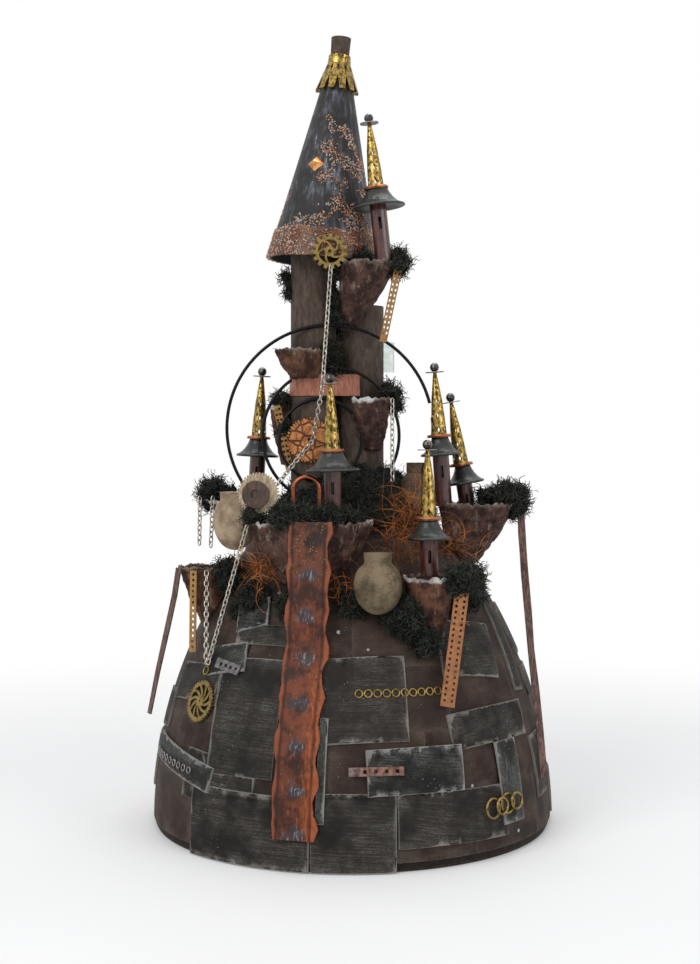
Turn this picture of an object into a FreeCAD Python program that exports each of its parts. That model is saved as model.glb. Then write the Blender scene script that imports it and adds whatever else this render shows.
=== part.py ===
"""A cardboard castle: a card-plated dome, two roll towers with a tall spire, and small towers in pulp cups.

The castle stands on z = 0 with its dome's axis on +Z and its front towards -Y. All sizes are millimetres.
"""
import FreeCAD, Part
import Sketcher
import math
import os
import re
from collections import namedtuple
from FreeCAD import Placement, Rotation, Vector

UP = Vector(0, 0, 1)
EXPRESSION_WORDS = ("sqrt", "cos", "sin", "tan")

doc = FreeCAD.newDocument("Castle")
sheet = doc.addObject("Spreadsheet::Sheet", "Sizes")
probe = doc.addObject("App::FeaturePython", "Probe")
probe.addProperty("App::PropertyFloat", "reading")
nodes = []

SIZES = {
    # dome: an arc turned about the axis, upright at the floor
    "dome_radius": 184.6,
    "dome_curve": 414.0,
    "dome_wall": 3.0,
    "dome_height": 272.0,
    "base_thickness": 3.0,
    "deck_thickness": 4.0,
    "card_thickness": 1.8,
    "card_gap": 0.5,
    "course_plate_wide": 86.0,
    "course_tall": 52.0,
    "first_course": 8.0,
    "plate_floor": 0.6,
    "plate_reach": 34.0,
    "back_start": 112.0,
    "back_shift": 9.0,
    "back_step": 31.0,
    # kitchen-roll tubes
    "roll_radius": 21.5,
    "roll_wall": 1.6,
    "keep_left_x": -36.0,
    "keep_left_y": -15.0,
    "keep_left_top": 589.0,
    "keep_right_x": 8.4,
    "keep_right_y": -5.0,
    "keep_right_top": 482.0,
    "keep_rear_x": -17.0,
    "keep_rear_y": 33.0,
    "keep_rear_top": 498.0,
    "post_radius": 12.0,
    "post_top": 522.0,
    "collar_tall": 20.0,
    "collar_low": 397.0,
    "collar_tail": 40.0,
    "seat_gap": 0.2,
    # spire
    "spire_x": -27.0,
    "spire_y": -15.0,
    "spire_low": 523.0,
    "spire_radius": 52.0,
    "spire_tip_radius": 9.0,
    "spire_tall": 190.0,
    "spire_wall": 1.8,
    "spire_lean": 4.6,
    "bead_band_tall": 26.0,
    "bead_crust": 1.6,
    "cap_radius": 8.6,
    "cap_tall": 21.0,
    "fringe_tall": 34.0,
    "fringe_flare": 4.0,
    "fringe_wall": 0.8,
    "fringe_tails": 12.0,
    "stud_wide": 14.0,
    "stud_deep": 5.0,
    "stud_up": 86.0,
    "stud_turn": -24.0,
    # one small tower's pieces
    "shaft_radius": 7.6,
    "shaft_wall": 1.2,
    "window_wide": 2.6,
    "window_tall": 11.0,
    "window_up": 24.0,
    "roof_rise": 13.0,
    "roof_drop": 4.0,
    "roof_lip": 1.0,
    "roof_top_radius": 11.5,
    "ring_radius": 9.4,
    "ring_wire": 1.4,
    "lace_radius": 7.4,
    "lace_tip": 1.6,
    "lace_tall": 60.0,
    "lace_wall": 0.6,
    "lace_hole": 3.4,
    "disc_radius": 8.6,
    "disc_thick": 0.8,
    "bead_radius": 4.4,
    # gears and hoops
    "gear_top_radius": 16.0,
    "gear_top_teeth": 15.0,
    "gear_clock_radius": 21.0,
    "gear_clock_teeth": 44.0,
    "gear_wood_radius": 18.6,
    "gear_wood_teeth": 40.0,
    "gear_thick": 2.4,
    "tooth_deep": 1.8,
    "hub_radius": 12.0,
    "hub_thick": 3.4,
    "pendant_radius": 18.6,
    "pendant_thick": 1.6,
    "pendant_teeth": 36.0,
    "hoop_wire": 1.5,
    "hoop_large": 95.0,
    "hoop_middle": 63.0,
    "hoop_small": 38.0,
    # chains and strips
    "link_long": 7.0,
    "link_wide": 5.0,
    "link_wire": 1.1,
    "strip_wide": 9.0,
    "strip_thick": 0.8,
    "strip_hole": 2.2,
    "strip_pitch": 5.0,
    "bar_wide": 9.0,
    "bar_thick": 1.2,
    "banner_wide": 37.0,
    "banner_thick": 2.2,
    "banner_wave": 1.6,
    "shoulder_drop": 36.0,
    "cup_recess": 3.0,
    "cup_lip": 3.0,
    "cup_flute": 0.07,
    "cup_waist": 0.55,
    "cup_swell": 1.12,
    "arch_radius": 11.5,
    "arch_wire": 1.9,
    "arch_leg": 30.0,
}

Cup = namedtuple("Cup", "name x y rim half_x half_y foot_x foot_y foot foot_half")
CUPS = (
    Cup("cup_under_spire", 17, -50, 519, 29, 22, -4, -26, 458, 7),
    Cup("cup_left_roll", -50, -40, 440, 24, 20, -44, -34, 413, 13),
    Cup("cup_right_roll", 17, -34, 395, 20, 19, 19, -22, 346, 9),
    Cup("cup_left_side", -66, -10, 389, 13, 13, -60, -10, 332, 7),
    Cup("cup_front", -36, -98, 285, 60, 36, -38, -90, 230, 28),
    Cup("cup_left_low", -135, -42, 241, 27, 25, -127, -39, 181, 8),
    Cup("cup_left_high", -124, -2, 300, 21, 19, -80, -2, 262, 12),
    Cup("cup_front_right", 66, -126, 239, 24, 21, 68, -121, 182, 9),
    Cup("cup_right", 117, -30, 298, 39, 33, 104, -27, 240, 11),
)

Tower = namedtuple("Tower", "name x y stands_on tall roof lean turn")
TOWERS = (
    Tower("tower_high", 29, -60, "cup_under_spire", 54, 23.0, 6, 180),
    Tower("tower_right", 85, -38, "cup_right", 50, 18.0, 4, 180),
    Tower("tower_far_right", 108, -18, "cup_right", 23, 16.5, 9, 180),
    Tower("tower_low", 67, -124, "cup_front_right", 38, 18.5, 1, 180),
    Tower("tower_left", -96, 16, "dome", 108, 19.5, 3, 0),
    Tower("tower_front", -16, -100, "cup_front", 50, 23.0, 1.5, 180),
)

Plate = namedtuple("Plate", "azimuth height wide tall tilt layer")
PLATES = (
    Plate(-29.5, 31, 119, 60, 0, 2),
    Plate(0.4, 33, 71, 64, 0, 2),
    Plate(29, 41, 109, 44, -1, 2),
    Plate(3.5, 139, 73, 72, 2, 2),
    Plate(17.5, 82, 85, 38, 0, 3),
    Plate(43, 174, 66, 50, -8, 2),
    Plate(45, 111, 97, 31, 1, 3),
    Plate(48, 62, 28, 70, 1, 3),
    Plate(70, 66, 42, 55, 3, 2),
    Plate(-33, 121, 68, 100, 2, 2),
    Plate(-58, 74, 108, 22, -8, 3),
    Plate(-40, 65, 82, 42, -5, 2),
    Plate(-58, 141, 84, 34, 3, 2),
    Plate(-45, 165, 46, 26, 12, 3),
    Plate(-39.5, 203, 34, 27, 18, 3),
    Plate(-32, 187, 60, 18, 2, 2),
    Plate(-8, 83, 7, 86, -1, 3),
    Plate(66, 170, 17, 84, -6, 3),
    Plate(-77, 111, 30, 36, 4, 2),
    Plate(84, 128, 60, 40, -3, 2),
    Plate(84, 180, 44, 46, 5, 2),
    Plate(-88, 60, 52, 48, 2, 2),
    Plate(92, 30, 70, 40, -2, 2),
)
BACK_ROWS = (34, 88, 142, 190)

Clump = namedtuple("Clump", "x y z radius")
MOSS = {
    "moss_upper": (
        Clump(6, -52, 519, 14), Clump(42, -54, 517, 14), Clump(-8, -44, 512, 12),
        Clump(-60, -16, 508, 9), Clump(-60, -17, 492, 8),
        Clump(-12, -34, 486, 11), Clump(-12, -34, 470, 10), Clump(-20, -38, 440, 9), Clump(-14, -32, 424, 9),
        Clump(36, -30, 398, 12), Clump(40, -20, 388, 9),
        Clump(-64, -14, 392, 12), Clump(-63, -24, 366, 8),
    ),
    "moss_middle": (
        Clump(-132, -4, 306, 17), Clump(-118, -4, 302, 14),
        Clump(-84, -106, 288, 13), Clump(-60, -122, 287, 14), Clump(-40, -124, 288, 14), Clump(-20, -122, 287, 14), Clump(-4, -118, 287, 11),
        Clump(146, -36, 300, 20), Clump(128, -28, 301, 14),
        Clump(92, -140, 238, 15), Clump(104, -128, 236, 13),
    ),
    "moss_lower": (
        Clump(-84, -92, 216, 18), Clump(-52, -118, 212, 15), Clump(2, -130, 218, 16), Clump(44, -136, 205, 20),
        Clump(64, -136, 184, 14), Clump(100, -96, 222, 20), Clump(-108, -60, 232, 18), Clump(-96, -82, 200, 14),
    ),
}


def size(alias):
    """The number that the sheet holds under an alias."""
    return float(sheet.get(alias))


def bound(text):
    """An expression on the sheet: each plain word in it becomes that word's cell."""
    return re.sub(r"[a-z][a-z_0-9]*", lambda m: m[0] if m[0] in EXPRESSION_WORDS else "Sizes." + m[0], text)


def fill_sheet():
    """Writes each driving size into the sheet, with its alias."""
    rows = dict(SIZES)
    for cup in CUPS:
        for field in Cup._fields[1:]:
            rows[f"{cup.name}_{field}"] = float(getattr(cup, field))
    for tower in TOWERS:
        for field in ("x", "y", "tall", "roof", "lean"):
            rows[f"{tower.name}_{field}"] = float(getattr(tower, field))
    for row, (alias, number) in enumerate(rows.items(), start=1):
        sheet.set(f"A{row}", alias)
        sheet.set(f"B{row}", str(number))
        sheet.setAlias(f"B{row}", alias)
    doc.recompute()


def keep(thing, label):
    """Names a finished sub-part, which is written to its own file."""
    thing.Label = label
    nodes.append(thing)
    return thing


def held(label, shape):
    """A sub-part whose shape is worked out from the sheet in this file's own code."""
    thing = doc.addObject("Part::Feature", label)
    thing.Shape = shape
    return keep(thing, label)


def outline(body, plane, points):
    """A closed outline of straight lines on a body's origin plane, each corner held by two expressions."""
    drawing = body.newObject("Sketcher::SketchObject", body.Name + "_outline")
    role = next(f for f in body.Origin.OriginFeatures if f.Role == plane)
    drawing.AttachmentSupport = [(role, "")]
    drawing.MapMode = "FlatFace"
    start = [[number_of(value) for value in point] for point in points]
    count = len(points)
    for i in range(count):
        a, b = start[i], start[(i + 1) % count]
        drawing.addGeometry(Part.LineSegment(Vector(a[0], a[1], 0), Vector(b[0], b[1], 0)))
    for i in range(count):
        drawing.addConstraint(Sketcher.Constraint("Coincident", i, 2, (i + 1) % count, 1))
    for i, (across, along) in enumerate(points):
        for kind, text, number in (("DistanceX", across, start[i][0]), ("DistanceY", along, start[i][1])):
            index = drawing.addConstraint(Sketcher.Constraint(kind, i, 1, number))
            if text != "0":
                drawing.setExpression(f"Constraints[{index}]", bound(text))
    return drawing


def number_of(text):
    """The value that an expression on the sheet has now."""
    probe.setExpression("reading", bound(text) if text != "0" else "0")
    probe.recompute()
    return float(probe.reading)


def turned(name, points):
    """A piece turned about its own Z axis from an outline of (radius, height) expressions."""
    body = doc.addObject("PartDesign::Body", name)
    drawing = outline(body, "XZ_Plane", points)
    turn = body.newObject("PartDesign::Revolution", name + "_turn")
    turn.Profile = drawing
    turn.ReferenceAxis = (drawing, ["V_Axis"])
    turn.Angle = 360
    return body


def sit(thing, x, y, z, lean="", axis=Vector(0, 1, 0)):
    """Places a piece by expressions, with an optional lean about an axis across the piece."""
    if lean:
        thing.Placement = Placement(Vector(), Rotation(axis, 1))
    for letter, text in (("x", x), ("y", y), ("z", z)):
        thing.setExpression("Placement.Base." + letter, bound(text))
    if lean:
        thing.setExpression("Placement.Rotation.Angle", bound(lean))
    return thing


def dome_reach(height, outward=0.0):
    """The dome's radius at a height, or that of a surface some way outside it."""
    centre = size("dome_curve") - size("dome_radius")
    return math.sqrt((size("dome_curve") + outward) ** 2 - height**2) - centre


def band_face(inner, outer, low, high):
    """The upright section of a skin on the dome, between two offsets and two heights."""
    middle = (low + high) / 2

    def corner(outward, height):
        return Vector(dome_reach(height, outward), 0, height)

    edges = [
        Part.Arc(corner(outer, low), corner(outer, middle), corner(outer, high)).toShape(),
        Part.makeLine(corner(outer, high), corner(inner, high)),
        Part.Arc(corner(inner, high), corner(inner, middle), corner(inner, low)).toShape(),
        Part.makeLine(corner(inner, low), corner(outer, low)),
    ]
    return Part.Face(Part.Wire(edges))


def on_dome(azimuth, height, outward, tilt=0.0):
    """A frame on the dome: X along the dome, -Y straight out of it, Z up its slope, turned by a tilt."""
    slope = math.degrees(math.asin(height / (size("dome_curve") + outward)))
    reach = dome_reach(height, outward)
    turn = Rotation(UP, azimuth) * Rotation(Vector(1, 0, 0), -slope) * Rotation(Vector(0, 1, 0), -tilt)
    side = math.radians(azimuth)
    return Placement(Vector(reach * math.sin(side), -reach * math.cos(side), height), turn)


def clear_of(shape, others):
    """The shape with the room of its neighbours taken out of it."""
    for other in others:
        if shape.BoundBox.intersect(other.BoundBox):
            shape = shape.cut(other)
    return shape


def only_large(shape, share=0.04):
    """The solids of a shape, without the crumbs that a cut leaves."""
    most = max(solid.Volume for solid in shape.Solids)
    return Part.makeCompound([solid for solid in shape.Solids if solid.Volume > share * most])


def make_dome():
    """The dome's shell, its base disc and the deck on top of it."""
    body = doc.addObject("PartDesign::Body", "dome")
    drawing = body.newObject("Sketcher::SketchObject", "dome_section")
    role = next(f for f in body.Origin.OriginFeatures if f.Role == "XZ_Plane")
    drawing.AttachmentSupport = [(role, "")]
    drawing.MapMode = "FlatFace"
    curve, reach, wall = size("dome_curve"), size("dome_radius"), size("dome_wall")
    low, high = size("base_thickness"), size("dome_height")
    centre = Vector(reach - curve, 0, 0)

    def arc(radius):
        circle = Part.Circle(centre, Vector(0, 0, 1), radius)
        return Part.ArcOfCircle(circle, math.asin(low / radius), math.asin(high / radius))

    outer, inner = arc(curve), arc(curve - wall)
    drawing.addGeometry(outer)
    drawing.addGeometry(Part.LineSegment(outer.EndPoint, inner.EndPoint))
    drawing.addGeometry(inner)
    drawing.addGeometry(Part.LineSegment(inner.StartPoint, outer.StartPoint))
    for pair in ((0, 2, 1, 1), (1, 2, 2, 2), (2, 1, 3, 1), (3, 2, 0, 1), (0, 3, 2, 3)):
        drawing.addConstraint(Sketcher.Constraint("Coincident", *pair))
    for kind, place, number, text in (
        ("DistanceX", (0, 3), reach - curve, "dome_radius - dome_curve"),
        ("Radius", (0,), curve, "dome_curve"),
        ("Radius", (2,), curve - wall, "dome_curve - dome_wall"),
        ("DistanceY", (0, 1), low, "base_thickness"),
        ("DistanceY", (0, 2), high, "dome_height"),
        ("DistanceY", (2, 1), low, "base_thickness"),
        ("DistanceY", (2, 2), high, "dome_height"),
    ):
        index = drawing.addConstraint(Sketcher.Constraint(kind, *place, number))
        drawing.setExpression(f"Constraints[{index}]", bound(text))
    drawing.addConstraint(Sketcher.Constraint("PointOnObject", 0, 3, -1))
    turn = body.newObject("PartDesign::Revolution", "dome_turn")
    turn.Profile = drawing
    turn.ReferenceAxis = (drawing, ["V_Axis"])
    turn.Angle = 360
    keep(body, "dome_shell")

    edge = "dome_radius - dome_wall / 2"
    keep(turned("base", [("0", "0"), (edge, "0"), (edge, "base_thickness"), ("0", "base_thickness")]), "base_disc")
    edge = "sqrt(dome_curve ^ 2 - dome_height ^ 2) - dome_curve + dome_radius"
    top = "dome_height + deck_thickness"
    keep(turned("deck", [("0", "dome_height"), (edge, "dome_height"), (edge, top), ("0", top)]), "deck")


def first_course_plates():
    """The plates that cover the dome all over, in courses with staggered joints."""
    thick, tall, gap = size("card_thickness"), size("course_tall"), size("card_gap")
    plates = []
    low = size("first_course")
    course = 0
    while low < size("dome_height") - tall / 3:
        high = min(low + tall, size("dome_height") - gap)
        reach = dome_reach((low + high) / 2)
        count = round(2 * math.pi * reach / size("course_plate_wide"))
        gap_turn = math.degrees(gap / reach)
        face = band_face(size("seat_gap") / 4, thick, low, high - gap)
        for i in range(count):
            plate = face.revolve(Vector(), UP, 360 / count - gap_turn)
            plate.rotate(Vector(), UP, 360 / count * (i + course / 2))
            plates.append(plate)
        low += tall
        course += 1
    return plates


def loose_plates():
    """Every plate of the second and third layers: those at the front, and an even scatter round the back."""
    plates = list(PLATES)
    for row, height in enumerate(BACK_ROWS):
        azimuth = size("back_start") + row * size("back_shift")
        i = row
        while azimuth < 360 - size("back_start"):
            upright = i % 3 == 1
            wide, tall = (30, 62) if upright else (74, 36)
            plates.append(Plate(azimuth, height + 6 * (i % 2), wide, tall, 7 * (i % 3 - 1), 2 + i % 2))
            azimuth += size("back_step")
            i += 1
    return plates


def bent_card(plate, layer, taken):
    """The solids of one bent card in a layer, clear of what stands there already."""
    thick, depth = size("card_thickness"), size("plate_reach")
    inner = (layer - 1) * thick + size("seat_gap") / 4
    block = Part.makeBox(plate.wide, 2 * depth, plate.tall, Vector(-plate.wide / 2, -depth, -plate.tall / 2))
    block.Placement = on_dome(plate.azimuth, plate.height, inner, plate.tilt)
    skin = band_face(inner, layer * thick, size("plate_floor"), size("dome_height")).revolve(Vector(), UP, 360)
    card = clear_of(skin.common(block), taken)
    return only_large(card).Solids if card.Solids else []


def upper_plates(cups):
    """The plates of the second and third layers: a card goes to the third only where a second one carries it."""
    second, third = [], []
    for plate in sorted(loose_plates(), key=lambda one: one.layer):
        if plate.layer == 3:
            resting = Part.makeCompound(bent_card(plate, 2, cups))
            if any(resting.common(card).Volume > 0 for card in second if resting.BoundBox.intersect(card.BoundBox)):
                third += bent_card(plate, 3, cups + third)
                continue
        second += bent_card(plate, 2, cups + second)
    return second, third


def round_points(wave, half_x, half_y, height, x, y):
    """Sixteen corners of a cup's section, squarish with four shallow flutes."""
    points = []
    for i in range(16):
        a = 2 * math.pi * i / 16
        reach = 1 + wave * math.cos(4 * a + math.pi)
        points.append(Vector(x + half_x * reach * math.cos(a), y + half_y * reach * math.sin(a), height))
    return points


def make_cups(tools):
    """The moulded-pulp cups, filled to just under the rim and fitted against what carries them."""
    wave, recess, lip = size("cup_flute"), size("cup_recess"), size("cup_lip")
    made = {}
    for cup in CUPS:
        x, y, rim, half_x, half_y, foot_x, foot_y, foot, foot_half = (
            size(f"{cup.name}_{field}") for field in Cup._fields[1:]
        )
        share = size("cup_waist")
        waist = [x + (foot_x - x) * share, y + (foot_y - y) * share, rim + (foot - rim) * share]
        swell = size("cup_swell")
        middle_x = (half_x + (foot_half - half_x) * share) * swell
        middle_y = (half_y + (foot_half - half_y) * share) * swell
        sections = [
            round_points(0, foot_half, foot_half, foot, foot_x, foot_y),
            round_points(wave / 2, middle_x, middle_y, waist[2], waist[0], waist[1]),
            round_points(wave, half_x, half_y, rim, x, y),
        ]
        shape = Part.makeLoft([Part.makePolygon(s + s[:1]) for s in sections], True, True)
        hollow = round_points(wave, half_x - lip, half_y - lip, rim - recess, x, y)
        pan = Part.Face(Part.makePolygon(hollow + hollow[:1])).extrude(Vector(0, 0, 2 * recess))
        shape = clear_of(shape.cut(pan), tools + list(made.values()))
        made[cup.name] = max(shape.Solids, key=lambda solid: solid.Volume)
        held(cup.name, made[cup.name])
    return made


def pierced(body, name, plane, points, depth, turns=0):
    """Cuts an opening from the body's axis outwards to its front, and repeats it round the axis if asked."""
    drawing = outline(body, plane, points)
    drawing.Label = name + "_outline"
    cut = body.newObject("PartDesign::Pocket", name)
    cut.Profile = drawing
    cut.Reversed = True
    cut.setExpression("Length", bound(depth))
    if not turns:
        return cut
    pattern = body.newObject("PartDesign::PolarPattern", name + "_round")
    pattern.Originals = [cut]
    pattern.Axis = (drawing, ["V_Axis"])
    pattern.Angle = 360
    pattern.Occurrences = turns
    body.Tip = pattern
    return pattern


def together(label, things):
    """One sub-part from several alike pieces."""
    group = doc.addObject("Part::Compound", label)
    group.Links = things
    return keep(group, label)


def make_towers(room):
    """The small towers: a shaft with a slit window, a brimmed roof, a ring, a pierced cone, a disc and a bead.

    One of them stands on the dome's shoulder, so its shaft is cut to the room that the dome takes up.
    """
    rings, laces, discs, beads, shafts, roofs = [], [], [], [], [], []
    for tower in TOWERS:
        name = tower.name
        lean = name + "_lean"
        if tower.stands_on == "dome":
            floor = "dome_height - shoulder_drop"
        else:
            floor = tower.stands_on + "_rim - cup_recess + shaft_radius * sin(" + lean + ")"
        axis = Vector(0, -1, 0) if tower.turn else Vector(0, 1, 0)

        def stand(thing):
            return sit(thing, name + "_x", name + "_y", floor, lean, axis)

        tall, rise = name + "_tall", name + "_tall + roof_rise"
        shaft = turned(name + "_shaft", [
            ("shaft_radius - shaft_wall", "0"), ("shaft_radius", "0"),
            ("shaft_radius", tall), ("shaft_radius - shaft_wall", tall),
        ])
        half, low, high = "window_wide / 2", tall + " - window_up", tall + " - window_up + window_tall"
        pierced(shaft, name + "_window", "XZ_Plane",
                [("0 - " + half, low), (half, low), (half, high), ("0 - " + half, high)], "shaft_radius + 1")
        shafts.append(stand(shaft))
        if tower.stands_on == "dome":
            fitted = doc.addObject("Part::Cut", name + "_shaft_fitted")
            fitted.Base = shafts.pop()
            fitted.Tool = room
            shafts.append(fitted)
        roof = turned(name + "_roof", [
            ("0", tall), ("shaft_radius", tall), (name + "_roof", tall + " - roof_drop"),
            (name + "_roof + roof_lip / 2", tall + " - roof_drop + roof_lip"),
            ("(" + name + "_roof + roof_top_radius) / 2 - 1.5", tall + " + roof_rise * 0.5"),
            ("roof_top_radius", rise), ("0", rise),
        ])
        roofs.append(stand(roof))
        foot = rise
        rings.append(stand(turned(name + "_ring", [
            ("ring_radius - ring_wire", foot), ("ring_radius + ring_wire", foot),
            ("ring_radius + ring_wire * 1.5", foot + " + ring_wire"),
            ("ring_radius + ring_wire * 0.7", foot + " + ring_wire * 2"),
            ("ring_radius - ring_wire * 0.7", foot + " + ring_wire * 2"),
            ("ring_radius - ring_wire * 1.3", foot + " + ring_wire"),
        ])))
        lace = turned(name + "_lace", [
            ("lace_radius - lace_wall", foot), ("lace_radius", foot),
            ("lace_radius * 0.86", foot + " + lace_tall * 0.3"),
            ("lace_radius * 0.66", foot + " + lace_tall * 0.6"),
            ("lace_tip", foot + " + lace_tall"), ("0", foot + " + lace_tall"),
            ("0", foot + " + lace_tall - lace_wall * 4"),
            ("lace_radius * 0.66 - lace_wall", foot + " + lace_tall * 0.6"),
            ("lace_radius * 0.86 - lace_wall", foot + " + lace_tall * 0.3"),
        ])
        for row, share in enumerate(("0.12", "0.34", "0.56")):
            middle = foot + " + lace_tall * " + share
            wide = "lace_hole * (1 - " + share + ")"
            pierced(lace, f"{name}_piercing_{row}", "XZ_Plane", [
                ("0 - " + wide + " / 2", middle), ("0", middle + " - lace_hole"),
                (wide + " / 2", middle), ("0", middle + " + lace_hole"),
            ], "lace_radius + 1", 6)
        laces.append(stand(lace))
        top = foot + " + lace_tall"
        discs.append(stand(turned(name + "_disc", [
            ("0", top), ("disc_radius", top), ("disc_radius", top + " + disc_thick"), ("0", top + " + disc_thick"),
        ])))
        seat = top + " + disc_thick"
        beads.append(stand(turned(name + "_bead", [
            ("0", seat), ("bead_radius * 0.38", seat), ("bead_radius * 0.8", seat + " + bead_radius * 0.33"),
            ("bead_radius", seat + " + bead_radius * 0.93"), ("bead_radius * 0.8", seat + " + bead_radius * 1.53"),
            ("bead_radius * 0.38", seat + " + bead_radius * 1.86"), ("0", seat + " + bead_radius * 1.93"),
        ])))
    together("tower_shafts", shafts)
    together("tower_roofs", roofs)
    together("tower_rings", rings)
    together("tower_laces", laces)
    together("tower_discs", discs)
    together("tower_beads", beads)


def make_rolls():
    """The upright card rolls that stand on the deck, two of them closed on top, and the post on one of those."""
    floor = "dome_height + deck_thickness"
    for name in ("keep_left", "keep_right", "keep_rear"):
        tall = name + "_top - dome_height - deck_thickness"
        corners = [("roll_radius - roll_wall", "0"), ("roll_radius", "0"), ("roll_radius", tall)]
        if name == "keep_left":
            corners.append(("roll_radius - roll_wall", tall))
        else:
            lid = tall + " - roll_wall"
            corners += [("0", tall), ("0", lid), ("roll_radius - roll_wall", lid)]
        roll = turned(name, corners)
        sit(roll, name + "_x", name + "_y", floor)
        if name != "keep_left":
            keep(roll, name)
    rise = "post_top - keep_right_top"
    post = turned("post", [("0", "0"), ("post_radius", "0"), ("post_radius", rise), ("0", rise)])
    keep(sit(post, "keep_right_x", "keep_right_y", "keep_right_top"), "upper_post")


def make_spire():
    """The leaning hollow spire with its crust of beads, its fringe, its cap and one square stud."""
    narrowing = "(spire_radius - spire_tip_radius) / spire_tall"

    def stand(thing):
        return sit(thing, "spire_x", "spire_y", "spire_low", "spire_lean")

    cone = turned("spire", [
        ("spire_radius - spire_wall", "0"), ("spire_radius", "0"),
        ("spire_tip_radius", "spire_tall"), ("spire_tip_radius - spire_wall", "spire_tall"),
    ])
    keep(stand(cone), "spire_cone")
    fitted = doc.addObject("Part::Cut", "keep_left_fitted")
    fitted.Base = doc.getObject("keep_left")
    fitted.Tool = cone
    keep(fitted, "keep_left_roll")
    upper = "spire_radius - bead_band_tall * " + narrowing
    crust = turned("crust", [
        ("spire_radius", "0"), ("spire_radius + bead_crust", "0"),
        (upper + " + bead_crust", "bead_band_tall"), (upper, "bead_band_tall"),
    ])
    keep(stand(crust), "spire_bead_band")
    cap_top = "spire_tall + cap_tall"
    cap = turned("cap", [
        ("0", "spire_tall"), ("cap_radius", "spire_tall"), ("cap_radius * 1.08", cap_top), ("0", cap_top),
    ])
    keep(stand(cap), "spire_cap")
    low = "spire_tall - fringe_tall + 4"
    reach = "spire_radius - (" + low + ") * " + narrowing
    fringe = turned("fringe", [
        (reach + " + seat_gap", low), (reach + " + fringe_flare + fringe_wall", low),
        ("spire_tip_radius + fringe_flare / 2", "spire_tall - 4"),
        ("cap_radius + fringe_wall * 2", "spire_tall + 4"), ("cap_radius + 0.5", "spire_tall + 4"),
        ("spire_tip_radius + seat_gap", "spire_tall"),
    ])
    pierced(fringe, "fringe_notch", "XZ_Plane", [
        ("0 - fringe_flare * 0.7", low + " - 1"), ("fringe_flare * 0.7", low + " - 1"), ("0", low + " + fringe_tall * 0.4"),
    ], "spire_radius", int(size("fringe_tails")))
    pierced(fringe, "fringe_eye", "XZ_Plane", [
        ("0 - fringe_wall * 1.6", low + " + fringe_tall * 0.62"), ("0", low + " + fringe_tall * 0.5"),
        ("fringe_wall * 1.6", low + " + fringe_tall * 0.62"), ("0", low + " + fringe_tall * 0.74"),
    ], "spire_radius", int(size("fringe_tails")))
    keep(stand(fringe), "spire_fringe")
    half, deep, up = size("stud_wide") / 2, size("stud_deep"), size("stud_up")
    reach = size("spire_radius") - up * (size("spire_radius") - size("spire_tip_radius")) / size("spire_tall")
    corners = [Vector(0, 1.2, -half), Vector(half, 1.2, 0), Vector(0, 1.2, half), Vector(-half, 1.2, 0)]
    sides = [[corners[i], corners[(i + 1) % 4], Vector(0, -deep, 0)] for i in range(4)] + [corners]
    stud = solid_of([Part.Face(Part.makePolygon(side + side[:1])) for side in sides])
    slope = math.degrees(math.atan((size("spire_radius") - size("spire_tip_radius")) / size("spire_tall")))
    turn = Rotation(UP, size("stud_turn"))
    local = Placement(turn.multVec(Vector(0, -reach, 0)) + Vector(0, 0, up), turn * Rotation(Vector(1, 0, 0), -slope))
    base = Vector(size("spire_x"), size("spire_y"), size("spire_low"))
    stud.Placement = Placement(base, Rotation(Vector(0, 1, 0), size("spire_lean"))).multiply(local)
    doc.recompute()
    held("spire_stud", stud.cut(Part.Solid(cone.Shape.Solids[0])))


def solid_of(faces):
    """A solid from the plane faces that close it."""
    return Part.makeSolid(Part.makeShell(faces))


def prism(points, rise):
    """A flat plate on a polygon, thickened along a vector."""
    return Part.Face(Part.makePolygon(points + points[:1])).extrude(rise)


def cogs(radius, teeth, deep, thick, bore):
    """A toothed wheel that lies on its back, its teeth outwards and its round bore cut through."""
    points = []
    for i in range(int(teeth)):
        for share, reach in ((0.0, radius - deep), (0.28, radius - deep), (0.4, radius), (0.82, radius)):
            a = 2 * math.pi * (i + share) / int(teeth)
            points.append(Vector(reach * math.cos(a), reach * math.sin(a), 0))
    wheel = prism(points, Vector(0, 0, thick))
    return wheel.cut(Part.makeCylinder(bore, 3 * thick, Vector(0, 0, -thick)))


def spoked(radius, teeth, deep, thick, rim_share, hub, bore, spokes, sweep):
    """A toothed ring whose hub is carried by curved spokes."""
    wheel = cogs(radius, teeth, deep, thick, radius * rim_share)
    web = Part.makeCylinder(hub, thick)
    reach = radius * rim_share + 0.4
    half = radius * 0.07
    for i in range(spokes):
        left, right = [], []
        for step in range(6):
            share = step / 5
            a = 2 * math.pi * i / spokes + math.radians(sweep) * share
            middle = Vector(math.cos(a), math.sin(a), 0) * (hub * 0.7 + (reach - hub * 0.7) * share)
            side = Vector(-math.sin(a), math.cos(a), 0) * half
            left.append(middle + side)
            right.append(middle - side)
        web = web.fuse(prism(left + right[::-1], Vector(0, 0, thick)))
    return wheel.fuse(web).cut(Part.makeCylinder(bore, 3 * thick, Vector(0, 0, -thick))).removeSplitter()


def facing(shape, x, y, z, tip=0.0, turn=0.0):
    """Stands a wheel that lies on its back upright, its back at the given y and its face to the front."""
    shape = shape.copy()
    shape.Placement = Placement(Vector(x, y, z), Rotation(UP, turn) * Rotation(Vector(1, 0, 0), 90 - tip))
    return shape


def nearest_gap(shape, others):
    """How far a shape is from the nearest of its neighbours."""
    reach = shape.BoundBox
    reach.enlarge(6)
    near = [other for other in others if reach.intersect(other.BoundBox)]
    return min(shape.distToShape(other)[0] for other in near)


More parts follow.
